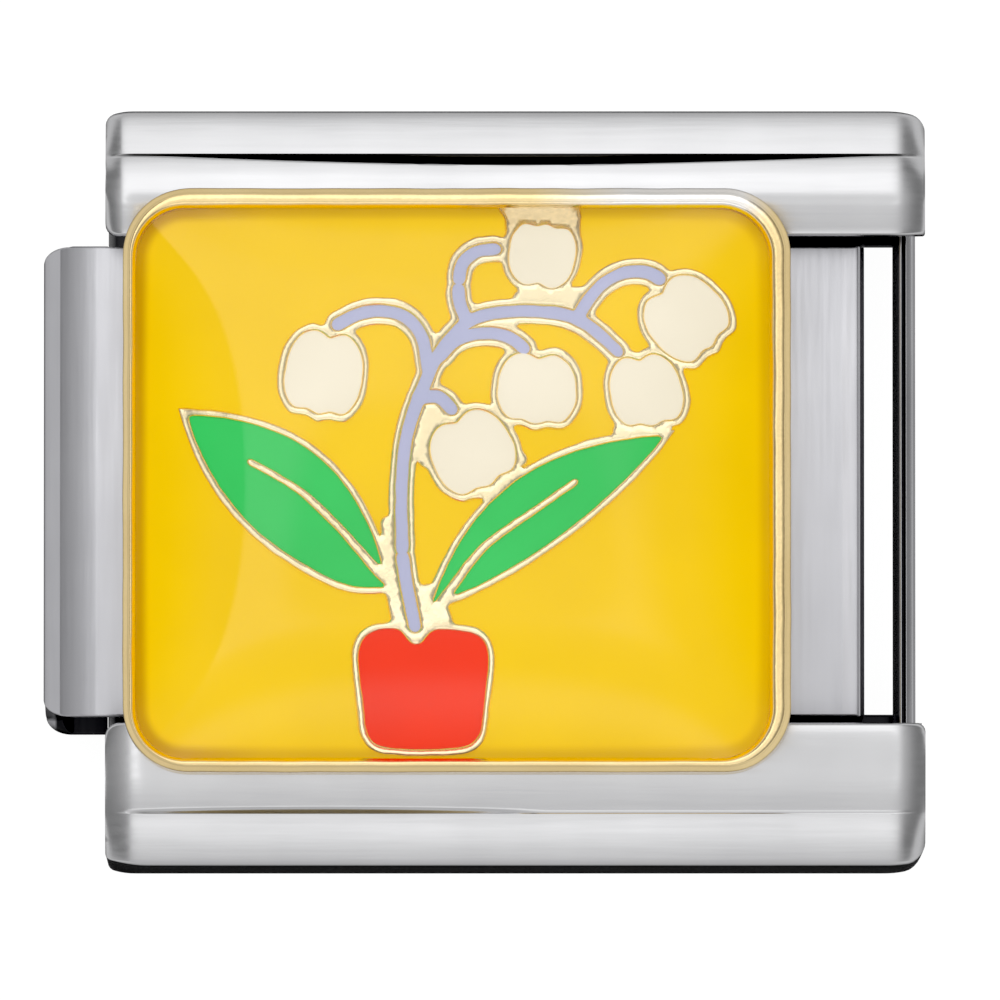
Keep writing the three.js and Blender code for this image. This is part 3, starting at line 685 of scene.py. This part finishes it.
darken_creases()
FRAME_HOLES = [
    cutter(WINDOW_LEFT, FRAME_RIGHT + HOLE_REACH, WINDOW_FROM, WINDOW_TO),
    cutter(BAR_RIGHT - 0.02, FRAME_RIGHT + HOLE_REACH, WINDOW_FROM - 0.1, WINDOW_TO + 0.2),
    cutter(TAB_LEFT + FRAME_SHEET, TAB_LEFT + FRAME_SHEET + TAB_HOLE_LENGTH,
           -TAB_HALF_WIDTH, TAB_HALF_WIDTH),
]
piece("frame_channel", "frame", "steel", STEEL_RAIL, *carved("channel", channel(), FRAME_HOLES),
      replaces=["outer_frame"], crease_angle=32)
piece("frame_spring_tab", "frame", "steel", STEEL_RAIL, *spring_tab(), replaces=["outer_frame"])
piece("frame_crossbar", "frame", "steel", STEEL_BAR, *crossbar(), replaces=["outer_frame"])


# ---- sliding plate

# Moves over the top of the hook, and over the plate's right edge, where it folds down.
HOOK_TOP = [arc(0.06, -56.0, 8), (0.2, 1.0, 4), arc(0.06, -20.0, 6), (0.42, -6.5, 12),
            (0.04, -6.0, 4)]
RIGHT_FOLD = [(0.03, 8.0, 3), (0.12, 0.0, 4), (0.05, -18.0, 3), arc(FOLD_RADIUS, -62.0, 8),
              (0.16, 0.0, 3), (0.02, -16.0, 3)]
FACE_TURN = -4.5


def plate_path():
    """Outer line of the strip from the hook's end, over the face, down to the web's foot."""
    hook = HOOK_END - (PLATE_LEFT + ROLL_RADIUS)
    rise, face, drop = 1.7, 8.0, 1.6
    for _ in range(4):
        points = turtle((HOOK_END, HOOK_BOTTOM), 180.0, [
            (hook, 0.0, 3), arc(ROLL_RADIUS, -90.0, 10), (rise, 0.0, 8), *HOOK_TOP,
            (face, FACE_TURN, 30), *RIGHT_FOLD, (drop, 0.0, 8)])
        rise += PLATE_TOP - max(z for _, z in points)
        face += PLATE_RIGHT - points[-1][0]
        drop += points[-1][1] - PLATE_WEB_FOOT
    return points


def plate_strip():
    """The plate's bent strip: wider at the hook's foot, and thinner in the right fold."""
    path = plate_path()
    out = normals_of(path, closed=False) * -1.0
    rings = []
    for (x, z), (nx, nz) in zip(path, out):
        width = PLATE_HALF_WIDTH - HOOK_CORNER_DEPTH / HOOK_CORNER * corner_pull(
            x - PLATE_LEFT, HOOK_CORNER)
        if x < HOOK_SIDE:
            width += HOOK_GAIN * smooth_step(*HOOK_GAIN_HEIGHTS, z)
        bend = smooth_step(*FOLD_PLACES, x) * smooth_step(*FOLD_HEIGHTS, z)
        thick = PLATE_SHEET * (1 - FOLD_THINNING * bend)
        r = min(PLATE_EDGE, thick / 3)
        edge = arc_points(width - r, r - thick, r, -90, 90, 3)
        edge += arc_points(width - r, -r, r, 0, 90, 3)[1:]
        ring = edge + [(-y, t) for y, t in reversed(edge)]
        rings.append([(x + nx * t, y + PLATE_SHIFT, z + nz * t) for y, t in ring])
    return loft(rings)


def guide(side):
    """A flange under the plate's edge: a short web and a wing out under the rail."""
    web = PLATE_HALF_WIDTH + side * PLATE_SHIFT
    inner, outer = web - PLATE_SHEET, GUIDE_HALF_WIDTH
    roof, top, under = PLATE_TOP - PLATE_SHEET, GUIDE_TOP, GUIDE_TOP - PLATE_SHEET
    outline = [
        (inner, roof), (web - 0.02, roof), (web, top + 0.03), (web + 0.03, top),
        (outer - 0.05, top), (outer, top - 0.05), (outer, under + 0.05), (outer - 0.05, under),
        (inner + 0.08, under), (inner + 0.02, under + 0.03), (inner, under + 0.08)]
    rings = []
    for x in np.linspace(GUIDE_LEFT, GUIDE_RIGHT, 30):
        pull = corner_pull(min(x - GUIDE_LEFT, GUIDE_RIGHT - x), GUIDE_CORNER)
        rings.append([(x, side * min(y, max(outer - pull, web)), z) for y, z in outline])
    return loft(rings)


piece("slide_plate", "slider", "steel", STEEL_PLATE, *plate_strip(),
      replaces=["sliding_plate"], crease_angle=50)
# The guides are painted near black as shade under the rails and the plate.
piece("slide_guides", "slider", "steel", STEEL_PAINTED_SHADE, *joined(guide(1), guide(-1)),
      replaces=["sliding_plate"])


# ---- spring

def zigzag():
    """Middle line of the folded strip: straight runs across, joined by half circles."""
    pitch = (SPRING_RIGHT - SPRING_LEFT - SPRING_SHEET) / SPRING_FOLDS
    bend = pitch / 2
    reach = SPRING_HALF_WIDTH - bend
    points = []
    for i in range(SPRING_FOLDS + 1):
        x = SPRING_LEFT + SPRING_SHEET / 2 + i * pitch
        way = 1 if i % 2 == 0 else -1
        points += [(x, -way * reach), *run((x, -way * reach), (x, way * reach), 8)]
        if i < SPRING_FOLDS:
            fold = arc_points(x + bend, reach, bend, 180, -180, 12)[1:-1]
            points += [(u, way * v) for u, v in fold]
    return points


def spring_strip():
    pts = zigzag()
    half = SPRING_SHEET / 2
    outline = rounded_rectangle(-half, half, SPRING_BOTTOM, SPRING_TOP, SPRING_EDGE, 3)
    return loft([[(x + nx * t, y + ny * t, z) for t, z in outline]
                 for (x, y), (nx, ny) in zip(pts, normals_of(pts, closed=False))])


spring = piece("zigzag_spring", "frame", "spring_steel", SPRING_STEEL, *spring_strip(),
               replaces=["leaf_spring"], crease_angle=50)
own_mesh(spring)


# ---- plaque outlines

# Between these insets the outline takes up the field's shift.
SHIFT_INSETS, LEAST_CORNER = (0.06, 0.18), 0.12
# Inset and height: underside, flank, ledge, bead, inner side and floor.
RIM_PROFILE = [(0.35, 3.12), (0.09, 3.12), (0.045, 3.13), (0.012, 3.16), (0.0, 3.21), (0.0, 3.5),
    (0.0, 3.7), (0.0, 3.9), (0.002, 3.96), (0.008, 3.979), (0.028, 3.992),
    (0.044, 4.005), (0.056, 4.014), (0.064, 4.022), (0.072, 4.032), (0.084, 4.04),
    (0.1, 4.045), (0.13, 4.047), (0.152, 4.043), (0.166, 4.034), (0.178, 4.018),
    (0.188, 3.995), (0.198, 3.962), (0.207, 3.92), (0.215, 3.865), (0.222, 3.81),
    (0.226, 3.77), (0.233, 3.70), (0.237, FLOOR_TOP)]
RIM_SHOWN, RIM_BEAD = (3.5, 3.95), 3.9


def plaque_ring(inset):
    """The plaque's outline drawn in by an inset, anticlockwise, always with as many points."""
    a, b = PLAQUE_LENGTH / 2 - inset, PLAQUE_WIDTH / 2 - inset
    share = smooth_step(*SHIFT_INSETS, inset)
    x, y = PLAQUE_X + share * FIELD_SHIFT[0], PLAQUE_Y + share * FIELD_SHIFT[1]
    return rounded_rectangle(x - a, x + a, y - b, y + b, max(PLAQUE_CORNER - inset, LEAST_CORNER),
                             18, (50, 42))


def wobble(x, y, seed, amount, waves):
    """A slow unevenness of up to an amount, with its waves per millimetre."""
    return amount * noise.noise(Vector((x * waves, y * waves, seed)))


def rim_body():
    """Cup of the plaque: underside, leaning flank, bead, sloped inner side and floor."""
    rings = []
    for inset, z in RIM_PROFILE:
        outline = plaque_ring(inset)
        shown = smooth_step(*RIM_SHOWN, z)
        ring = []
        for (x, y), (nx, ny) in zip(outline, normals_of(outline)):
            sway = shown * wobble(x, y, 3.1, 0.007, 2.2)
            lift = 0.0
            if z > RIM_BEAD:
                lift = shown * (wobble(x, y, 7.7, 0.012, 1.1) + wobble(x, y, 9.2, 0.004, 6.0))
            ring.append((x + nx * sway, y + ny * sway, z + lift))
        rings.append(ring)
    return loft(rings)


piece("plaque_rim", "slider", "gold_plate", GOLD_RIM, *rim_body(), replaces=["plaque_base"],
      crease_angle=50)
piece("plaque_foot", "slider", "gold_plate", GOLD, *rounded_box(
    PLAQUE_X - FOOT_LENGTH / 2, PLAQUE_X + FOOT_LENGTH / 2, -FOOT_WIDTH / 2, FOOT_WIDTH / 2,
    PLATE_TOP + 0.02, PLAQUE_BOTTOM + 0.06, radius=FOOT_EDGE), replaces=["plaque_base"])


# ---- picture cells

CORNER_TURN = 38.0
POINT_STEP, CURVE_STEP, LEAST_CHORD, LEAST_POINTS, EASINGS = 0.026, 0.01, 0.008, 12, 14
EDGE_REACH = 0.015
RINGS = (0.006, 0.014, 0.027)
WALL_FOOT, WALL_RISE, WALL_ROUND = 3.771, 0.034, 0.0105
WALL_SPOTS, SPOT_CLEARANCE, METAL_OVERLAP = 0.055, 0.045, 0.045
CREEP, CREEP_REACH, CELL_GAIN, CELL_BORDER = 0.004, 0.02, 0.0015, 0.02


def top_loops(node):
    """Edges of a CAD node's flat top as closed loops, with the node on the left of each."""
    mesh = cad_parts[node].data
    top = max(v.co.z for v in mesh.vertices)
    faces = []
    for face in mesh.polygons:
        corners = [mesh.vertices[i].co for i in face.vertices]
        if min(c.z for c in corners) > top - 1e-6:
            faces.append([(round(c.x / MM, 4), round(c.y / MM, 4)) for c in corners])
    following = {}
    for a, b in border(faces):
        following.setdefault(a, []).append(b)
    loops = []
    for start in sorted(following):
        while following[start]:
            loop = [start]
            here = following[start].pop()
            while here != start:
                loop.append(here)
                here = following[here].pop()
            loops.append(loop)
    return loops


def smoothed(loop):
    """A curve through a loop's points, evenly spaced, its real corners kept and then eased."""
    pts = [Vector(p) for p in loop]
    pts = [p for p, before in zip(pts, pts[-1:] + pts[:-1]) if (p - before).length > LEAST_CHORD]
    count = len(pts)
    chords = [pts[(i + 1) % count] - pts[i] for i in range(count)]
    hard = [abs(math.degrees(chords[i - 1].angle_signed(chords[i]))) > CORNER_TURN
            for i in range(count)]

    def slope(chord, other, is_hard):
        return chord if is_hard else (
            (other / other.length + chord / chord.length) * chord.length / 2)

    curve = []
    for i, chord in enumerate(chords):
        after = (i + 1) % count
        p1, p2 = pts[i], pts[after]
        m1, m2 = slope(chord, chords[i - 1], hard[i]), slope(chord, chords[after], hard[after])
        steps = max(1, round(chord.length / CURVE_STEP))
        for t in (k / steps for k in range(steps)):
            curve.append(p1 * (2 * t ** 3 - 3 * t ** 2 + 1) + m1 * (t ** 3 - 2 * t ** 2 + t)
                         + p2 * (3 * t ** 2 - 2 * t ** 3) + m2 * (t ** 3 - t ** 2))
    dense = np.array([tuple(p) for p in curve])
    for _ in range(EASINGS):
        dense = dense * 0.5 + (np.roll(dense, 1, axis=0) + np.roll(dense, -1, axis=0)) * 0.25
    steps = np.linalg.norm(np.roll(dense, -1, axis=0) - dense, axis=1)
    length = np.concatenate([[0.0], np.cumsum(steps)])
    closed = np.vstack([dense, dense[:1]])
    points = max(LEAST_POINTS, round(length[-1] / POINT_STEP))
    places = np.linspace(0.0, length[-1], points, endpoint=False)
    return np.stack([np.interp(places, length, closed[:, k]) for k in (0, 1)], axis=1)


def field_depth(x, y):
    """How far a place lies inside the field's outline, along the nearer side or corner."""
    a = PLAQUE_LENGTH / 2 - CAD_FIELD_INSET
    b = PLAQUE_WIDTH / 2 - CAD_FIELD_INSET
    r = PLAQUE_CORNER - CAD_FIELD_INSET
    dx, dy = abs(x - PLAQUE_X) - (a - r), abs(y - PLAQUE_Y) - (b - r)
    if dx > 0 and dy > 0:
        return r - math.hypot(dx, dy)
    return r - max(dx, dy)


# Small shifts of the picture: a middle, how wide and high it reaches, and the shift there.
NUDGES = ((-2.57, -0.19, 1.2, 1.2, 0.09, -0.015), (-1.6, -1.2, 0.55, 0.4, 0.0, -0.085),
          (-2.17, 1.37, 0.7, 0.7, 0.035, 0.0), (-0.98, -1.75, 0.7, 0.6, 0.0, 0.065),
          (-0.73, -3.1, 1.3, 0.5, 0.0, -0.11), (2.26, 1.97, 0.9, 0.9, -0.08, 0.0),
          (0.7, 2.9, 0.6, 0.65, 0.0, -0.09), (0.73, 1.19, 0.5, 0.5, -0.01, -0.03),
          (3.0, 1.9, 0.5, 0.7, -0.05, 0.0))


def drawn_place(x, y, facing):
    """Where a place of the CAD picture is drawn, and whether it is on the field's own edge."""
    x, y = x + PLAQUE_X - CAD_PLAQUE_X, y + PLAQUE_Y
    out = Vector((field_depth(x - 0.001, y) - field_depth(x + 0.001, y),
                  field_depth(x, y - 0.001) - field_depth(x, y + 0.001))).normalized()
    if field_depth(x, y) < EDGE_REACH and out.dot(Vector(facing)) > 0:
        gain = CAD_FIELD_INSET - FIELD_INSET
        return x + out.x * gain + FIELD_SHIFT[0], y + out.y * gain + FIELD_SHIFT[1], True
    dx = dy = 0.0
    for cx, cy, wide, high, ex, ey in NUDGES:
        share = math.exp(-((x - cx) / wide) ** 2 - ((y - cy) / high) ** 2)
        dx, dy = dx + share * ex, dy + share * ey
    return x + dx, y + dy, False


def cell_loops(node):
    """A cell's drawn outlines: a little larger than the CAD cell, and slightly uneven."""
    loops = []
    for loop in top_loops(node):
        line = smoothed(loop)
        places = [drawn_place(x, y, facing) for (x, y), facing in zip(line, normals_of(line))]
        out = normals_of([(x, y) for x, y, _ in places])
        drawn = []
        for (x, y, on_edge), (nx, ny) in zip(places, out):
            grow = 0.0
            if not on_edge:
                grow = 0.001 + wobble(x, y, 1.3, 0.008, 1.7) + wobble(x, y, 5.9, 0.006, 7.0)
            drawn.append((x + nx * grow, y + ny * grow))
        loops.append(np.array(drawn))
    return loops


def inside(points, loops):
    """Whether each point lies within an odd number of the loops."""
    odd = np.zeros(len(points), dtype=bool)
    x, y = points.T
    for loop in loops:
        for (x0, y0), (x1, y1) in zip(loop, np.roll(loop, -1, axis=0)):
            rows = (y >= min(y0, y1)) & (y < max(y0, y1))
            if rows.any():
                odd[rows] ^= x[rows] < x0 + (y[rows] - y0) * (x1 - x0) / (y1 - y0)
    return odd


def sheet_solid(loops, extra_rings, spots, height, foot):
    """A closed solid over the area inside the loops; height gives its top at each place."""
    points, edges = [], []
    for ring in [*loops, *extra_rings]:
        base = len(points)
        points.extend(Vector(p) for p in ring)
        edges.extend((base + i, base + (i + 1) % len(ring)) for i in range(len(ring)))
    points.extend(Vector(spot) for spot in spots)
    flat, _, tris, *_ = delaunay_2d_cdt(points, edges, [], 0, 1e-6)
    where = np.array([tuple(p) for p in flat])
    centres = where[np.array(tris)].mean(axis=1)
    kept = [t for t, keep in zip(tris, inside(centres, loops)) if keep]
    used = sorted({i for t in kept for i in t})
    order = {old: new for new, old in enumerate(used)}
    kept = [tuple(order[i] for i in t) for t in kept]
    count = len(used)
    tops = [(*where[i], height(*where[i])) for i in used]
    verts = tops + [(x, y, foot) for x, y, _ in tops]
    faces = kept + [tuple(count + i for i in reversed(t)) for t in kept]
    faces += [(b, a, count + a, count + b) for a, b in border(kept)]
    return verts, faces


CELLS = {name: cell_loops(name) for name in sorted(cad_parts) if name.startswith("enamel_")}
COLOURS = {"stem": "lilac", "leaf": "green", "bell": "ivory", "pot": "red", "ground": "yellow",
           "pocket": "yellow"}
ALL_LOOPS = [loop for loops in CELLS.values() for loop in loops]
METAL_EDGE = np.array(plaque_ring(FIELD_INSET - METAL_OVERLAP))


def fence(loops):
    """Upright faces along the loops, to measure how far a place is from the nearest one."""
    verts, faces = [], []
    for loop in loops:
        base, count = len(verts), len(loop)
        verts += [(x, y, z) for x, y in loop for z in (-1.0, 1.0)]
        for i in range(base, base + 2 * count, 2):
            j = base + (i + 2 - base) % (2 * count)
            faces.append((i, j, j + 1, i + 1))
    return BVHTree.FromPolygons(verts, faces)


FENCE = fence(ALL_LOOPS)


def distance_to_cells(x, y):
    return FENCE.find_nearest((x, y, 0.0))[3]


def wall_height(x, y):
    """The metal rounds up from each cell's edge to a slightly uneven top."""
    d = distance_to_cells(x, y)
    return WALL_FOOT + WALL_RISE * (1 - math.exp(-d / WALL_ROUND)) + wobble(x, y, 4.4, 0.004, 5.0)


def enamel_height(x, y):
    """The enamel creeps a little up the metal at its edge."""
    return ENAMEL_TOP + CREEP * math.exp(-distance_to_cells(x, y) / CREEP_REACH)


def grown(loop, distance):
    return loop + normals_of(loop) * distance


def wall_spots():
    """Places inside the wide metal fields, so that their surface can be slightly uneven."""
    spots = []
    for i in range(int(PLAQUE_LENGTH / WALL_SPOTS)):
        for j in range(int(PLAQUE_WIDTH / WALL_SPOTS)):
            x = PLAQUE_X - PLAQUE_LENGTH / 2 + (i + 0.5 * (j % 2)) * WALL_SPOTS
            y = PLAQUE_Y - PLAQUE_WIDTH / 2 + j * WALL_SPOTS
            if field_depth(x, y) > 0 and distance_to_cells(x, y) > SPOT_CLEARANCE:
                spots.append((x, y))
    on_metal = inside(np.array(spots), [*ALL_LOOPS, METAL_EDGE])
    return [spot for spot, kept in zip(spots, on_metal) if kept]


piece("picture_walls", "slider", "gold_plate", GOLD, *sheet_solid(
    [METAL_EDGE, *ALL_LOOPS], [grown(loop, d) for loop in ALL_LOOPS for d in RINGS],
    wall_spots(), wall_height, FLOOR_TOP - 0.002), replaces=["plaque_base"], crease_angle=80)
for node, loops in CELLS.items():
    colour = COLOURS[node.split("_")[1]]
    piece(node.replace("enamel", "cell"), "slider", f"{colour}_enamel", ENAMELS[colour],
          *sheet_solid([grown(loop, CELL_GAIN) for loop in loops],
                       [grown(loop, -CELL_BORDER) for loop in loops], [], enamel_height, FLOOR_TOP),
          replaces=[node])


# ---- resin dome

# How far in from the edge the dome's first rings lie; further in they are DOME_STEP apart.
DOME_DEPTHS = (0.0, 0.012, 0.028, 0.05, 0.08, 0.115, 0.155, 0.2, 0.25, 0.31, 0.38, 0.46)
DOME_STEP, DOME_MIDDLE, DOME_LAST = 0.1, 0.08, 0.12
# Inset and height of the rings below the edge, which follow the rim's inner side.
DOME_SKIRT = ((0.202, 3.956), (0.21, 3.905), (0.218, 3.84), (0.226, 3.762))
SOLVER_STEPS, SOLVER_LIMIT = 900, 1e-16


def dome_rings():
    """Scaled copies of the dome's outline, from its edge to its middle, closer at the edge."""
    outline = np.array(plaque_ring(DOME_INSET))
    half = PLAQUE_WIDTH / 2 - DOME_INSET
    depths = list(DOME_DEPTHS)
    while depths[-1] < half - DOME_LAST:
        depths.append(min(depths[-1] + DOME_STEP, half - DOME_MIDDLE))
    middle = np.array([PLAQUE_X, PLAQUE_Y])
    return [middle + (outline - middle) * (1 - d / half) for d in depths]


def dome_heights(points, tris, fixed, reach):
    """Height of a liquid film over the outline: surface tension against its own weight."""
    pts = np.array(points)
    tri = np.array(tris)
    count = len(pts)
    mass = np.zeros(count)
    rows, cols, weights = [], [], []
    for k in range(3):
        i, j, opposite = tri[:, k], tri[:, (k + 1) % 3], tri[:, (k + 2) % 3]
        u, v = pts[i] - pts[opposite], pts[j] - pts[opposite]
        cross = np.abs(u[:, 0] * v[:, 1] - u[:, 1] * v[:, 0])
        cot = (u * v).sum(axis=1) / np.maximum(cross, 1e-9) / 2
        rows += [i, j]
        cols += [j, i]
        weights += [cot, cot]
        np.add.at(mass, i, cross / 6)
    rows, cols, weights = map(np.concatenate, (rows, cols, weights))
    diagonal = np.bincount(rows, weights, count) + mass / reach ** 2
    free = np.ones(count, dtype=bool)
    free[fixed] = False

    def applied(h):
        return np.where(free, diagonal * h - np.bincount(rows, weights * h[cols], count), 0.0)

    h = np.zeros(count)
    rest = np.where(free, mass, 0.0)
    way = rest / diagonal
    gain = float(rest @ way)
    for _ in range(SOLVER_STEPS):
        pushed = applied(way)
        step = gain / float(way @ pushed)
        h += step * way
        rest = rest - step * pushed
        scaled = rest / diagonal
        new_gain = float(rest @ scaled)
        if new_gain < SOLVER_LIMIT:
            break
        way = scaled + way * (new_gain / gain)
        gain = new_gain
    return h / h.max()


def dome():
    """The dome's film down to its edge, and below it a skirt inside the rim."""
    rings = dome_rings()
    count = len(rings[0])
    following = [(i, (i + 1) % count) for i in range(count)]
    flat = [tuple(p) for ring in rings for p in ring] + [(PLAQUE_X, PLAQUE_Y)]
    faces = []
    for low in range(0, count * (len(rings) - 1), count):
        for i, j in following:
            faces += [(low + i, low + j, low + count + j), (low + i, low + count + j, low + count + i)]
    last, centre = len(flat) - 1 - count, len(flat) - 1
    faces += [(last + i, last + j, centre) for i, j in following]
    heights = dome_heights(flat, faces, np.arange(count), DOME_REACH)
    verts = [(x, y, DOME_EDGE + (DOME_TOP - DOME_EDGE) * h) for (x, y), h in zip(flat, heights)]
    above = 0
    for inset, z in DOME_SKIRT:
        below = len(verts)
        verts += [(x, y, z) for x, y in plaque_ring(inset)]
        faces += [(above + i, below + i, below + j, above + j) for i, j in following]
        above = below
    faces.append(tuple(reversed(range(above, above + count))))
    return facing_out(verts, faces)


clear = piece("resin_dome", "slider", "clear_resin", RESIN, *dome(), replaces=["clear_dome"],
              crease_angle=60)
clear.visible_shadow = False
clear.visible_diffuse = False


# ---- stage, light and camera

FLOOR_HALF_SIZE, FLOOR_LEVEL = 700.0, -0.02


def build_floor():
    """A floor that glows a clean white and isn't mirrored in the metal."""
    mat, _, _ = new_material("studio_floor", Roughness=0.9, Base_Color=(0.1, 0.1, 0.1, 1.0),
                             Emission_Color=(1.0, 1.0, 1.0, 1.0), Emission_Strength=0.95)
    corners = [(x * FLOOR_HALF_SIZE, y * FLOOR_HALF_SIZE, FLOOR_LEVEL)
               for x, y in ((-1, -1), (1, -1), (1, 1), (-1, 1))]
    floor = mesh_object("studio_floor", corners, [(0, 1, 2, 3)], MM)
    floor.data.materials.append(mat)
    floor.visible_glossy = False


# The tent's light by angle: over the band across the link, and beside it from straight up.
BAND_LIGHT = (
    (-180, 0.012), (-125, 0.03), (-118, 0.34), (-112, 0.45), (-90, 0.62), (-76, 0.7),
    (-58, 0.68), (-46, 0.86), (-36, 1.2), (-30, 1.36), (-26, 1.2), (-22, 0.87), (-19, 0.75),
    (-16, 0.78), (-12, 0.95), (-7, 1.06), (4, 0.97), (8, 1.1), (12, 1.38), (16, 1.5), (28, 1.5),
    (33, 1.42), (36, 1.38), (44, 1.38), (48, 1.2), (55, 0.72), (60, 0.64), (76, 0.7), (90, 0.62),
    (112, 0.45), (118, 0.34), (125, 0.03), (180, 0.012))
SIDE_LIGHT = (
    (0, 0.6), (22, 0.6), (28, 0.5), (36, 0.35), (45, 0.26), (51, 0.25), (60, 0.62), (66, 0.75),
    (80, 0.76), (90, 0.66), (112, 0.5), (125, 0.4), (140, 0.25), (155, 0.08), (180, 0.012))
TOP_LIGHT = 1.6
# Soft edges of the lamp and of the band, and of the lamp's dimmer middle with its place.
LAMP_EDGES, BAND_EDGES = ((-12, -9), (33, 27)), ((-19.5, -18), (21, 6))
LAMP_MIDDLE, LAMP_MIDDLE_EDGE = -1.0, (9, 13)


def light_curve(tree, angle, points):
    """A strength that follows (angle, strength) points."""
    low, high = points[0][0], points[-1][0]
    share = maths(tree, "DIVIDE", maths(tree, "SUBTRACT", angle, low), high - low)
    node = tree.nodes.new("ShaderNodeFloatCurve")
    line = node.mapping.curves[0]
    for place, level in points[1:-1]:
        line.points.new((place - low) / (high - low), level / TOP_LIGHT)
    for end, (_, level) in ((line.points[0], points[0]), (line.points[-1], points[-1])):
        end.location[1] = level / TOP_LIGHT
    for point in line.points:
        point.handle_type = "AUTO_CLAMPED"
    node.mapping.update()
    tree.links.new(share, node.inputs["Value"])
    return maths(tree, "MULTIPLY", node.outputs[0], TOP_LIGHT)


def build_world():
    """A light tent with a lamp above: its light by the angle from straight up, in degrees."""
    world = bpy.data.worlds.new("light_tent")
    bpy.context.scene.world = world
    world.use_nodes = True
    tree = world.node_tree

    def product(first, second):
        return maths(tree, "MULTIPLY", first, second)

    def degrees(value):
        return product(value, 180 / math.pi)

    def within(angle, edges):
        return product(*(remapped(tree, angle, *edge, smooth=True) for edge in edges))

    def mixed(factor, low, high):
        return feed(tree, tree.nodes.new("ShaderNodeMix"), {0: factor, 2: low, 3: high}).outputs[0]

    x, y, z = axes(tree, tree.nodes.new("ShaderNodeTexCoord").outputs["Generated"])
    across, along = degrees(maths(tree, "ARCTAN2", y, z)), degrees(maths(tree, "ARCSINE", x))
    offset = maths(tree, "SUBTRACT", across, LAMP_MIDDLE)
    squares = maths(tree, "ADD", product(along, along), product(offset, offset))
    away = remapped(tree, maths(tree, "SQRT", squares), *LAMP_MIDDLE_EDGE, smooth=True)
    lamp = product(within(across, LAMP_EDGES), away)
    band = mixed(lamp, light_curve(tree, across, BAND_LIGHT), TOP_LIGHT)
    side = light_curve(tree, degrees(maths(tree, "ARCCOSINE", z)), SIDE_LIGHT)
    feed(tree, tree.nodes["Background"], {
        "Color": (1.0, 1.0, 1.0, 1.0), "Strength": mixed(within(along, BAND_EDGES), side, band)})


def build_lights():
    light = bpy.data.lights.new("soft_fill", "AREA")
    light.shape = "DISK"
    light.size = 0.12
    light.energy = 0.071
    fill = bpy.data.objects.new("soft_fill", light)
    fill.location = (0.0, 0.02, 0.12)
    fill.rotation_euler = (math.radians(-10), 0.0, 0.0)
    fill.visible_glossy = False
    fill.visible_transmission = False
    bpy.context.collection.objects.link(fill)


VIEW_TILT, VIEW_WIDTH, VIEW_DISTANCE = 2.9, 12.005, 300.0
AIM = (0.192, -0.155, 3.0)
SENSOR = 36.0


def build_camera():
    data = bpy.data.cameras.new("camera")
    data.sensor_width = SENSOR
    data.lens = SENSOR * VIEW_DISTANCE / VIEW_WIDTH
    data.clip_start = 0.01
    data.clip_end = 5.0
    camera = bpy.data.objects.new("camera", data)
    tilt = math.radians(VIEW_TILT)
    camera.location = (AIM[0] * MM, (AIM[1] - VIEW_DISTANCE * math.sin(tilt)) * MM,
                       (AIM[2] + VIEW_DISTANCE * math.cos(tilt)) * MM)
    camera.rotation_euler = (tilt, 0.0, 0.0)
    bpy.context.collection.objects.link(camera)
    bpy.context.scene.camera = camera


def set_view():
    """The colours as they are, but for the darkest tones, which go to black."""
    view = bpy.context.scene.view_settings
    view.view_transform = "Standard"
    view.look = "None"
    view.use_curve_mapping = True
    view.curve_mapping.black_level = (0.01, 0.01, 0.01)
    view.curve_mapping.update()


build_floor()
build_world()
build_lights()
build_camera()
set_view()
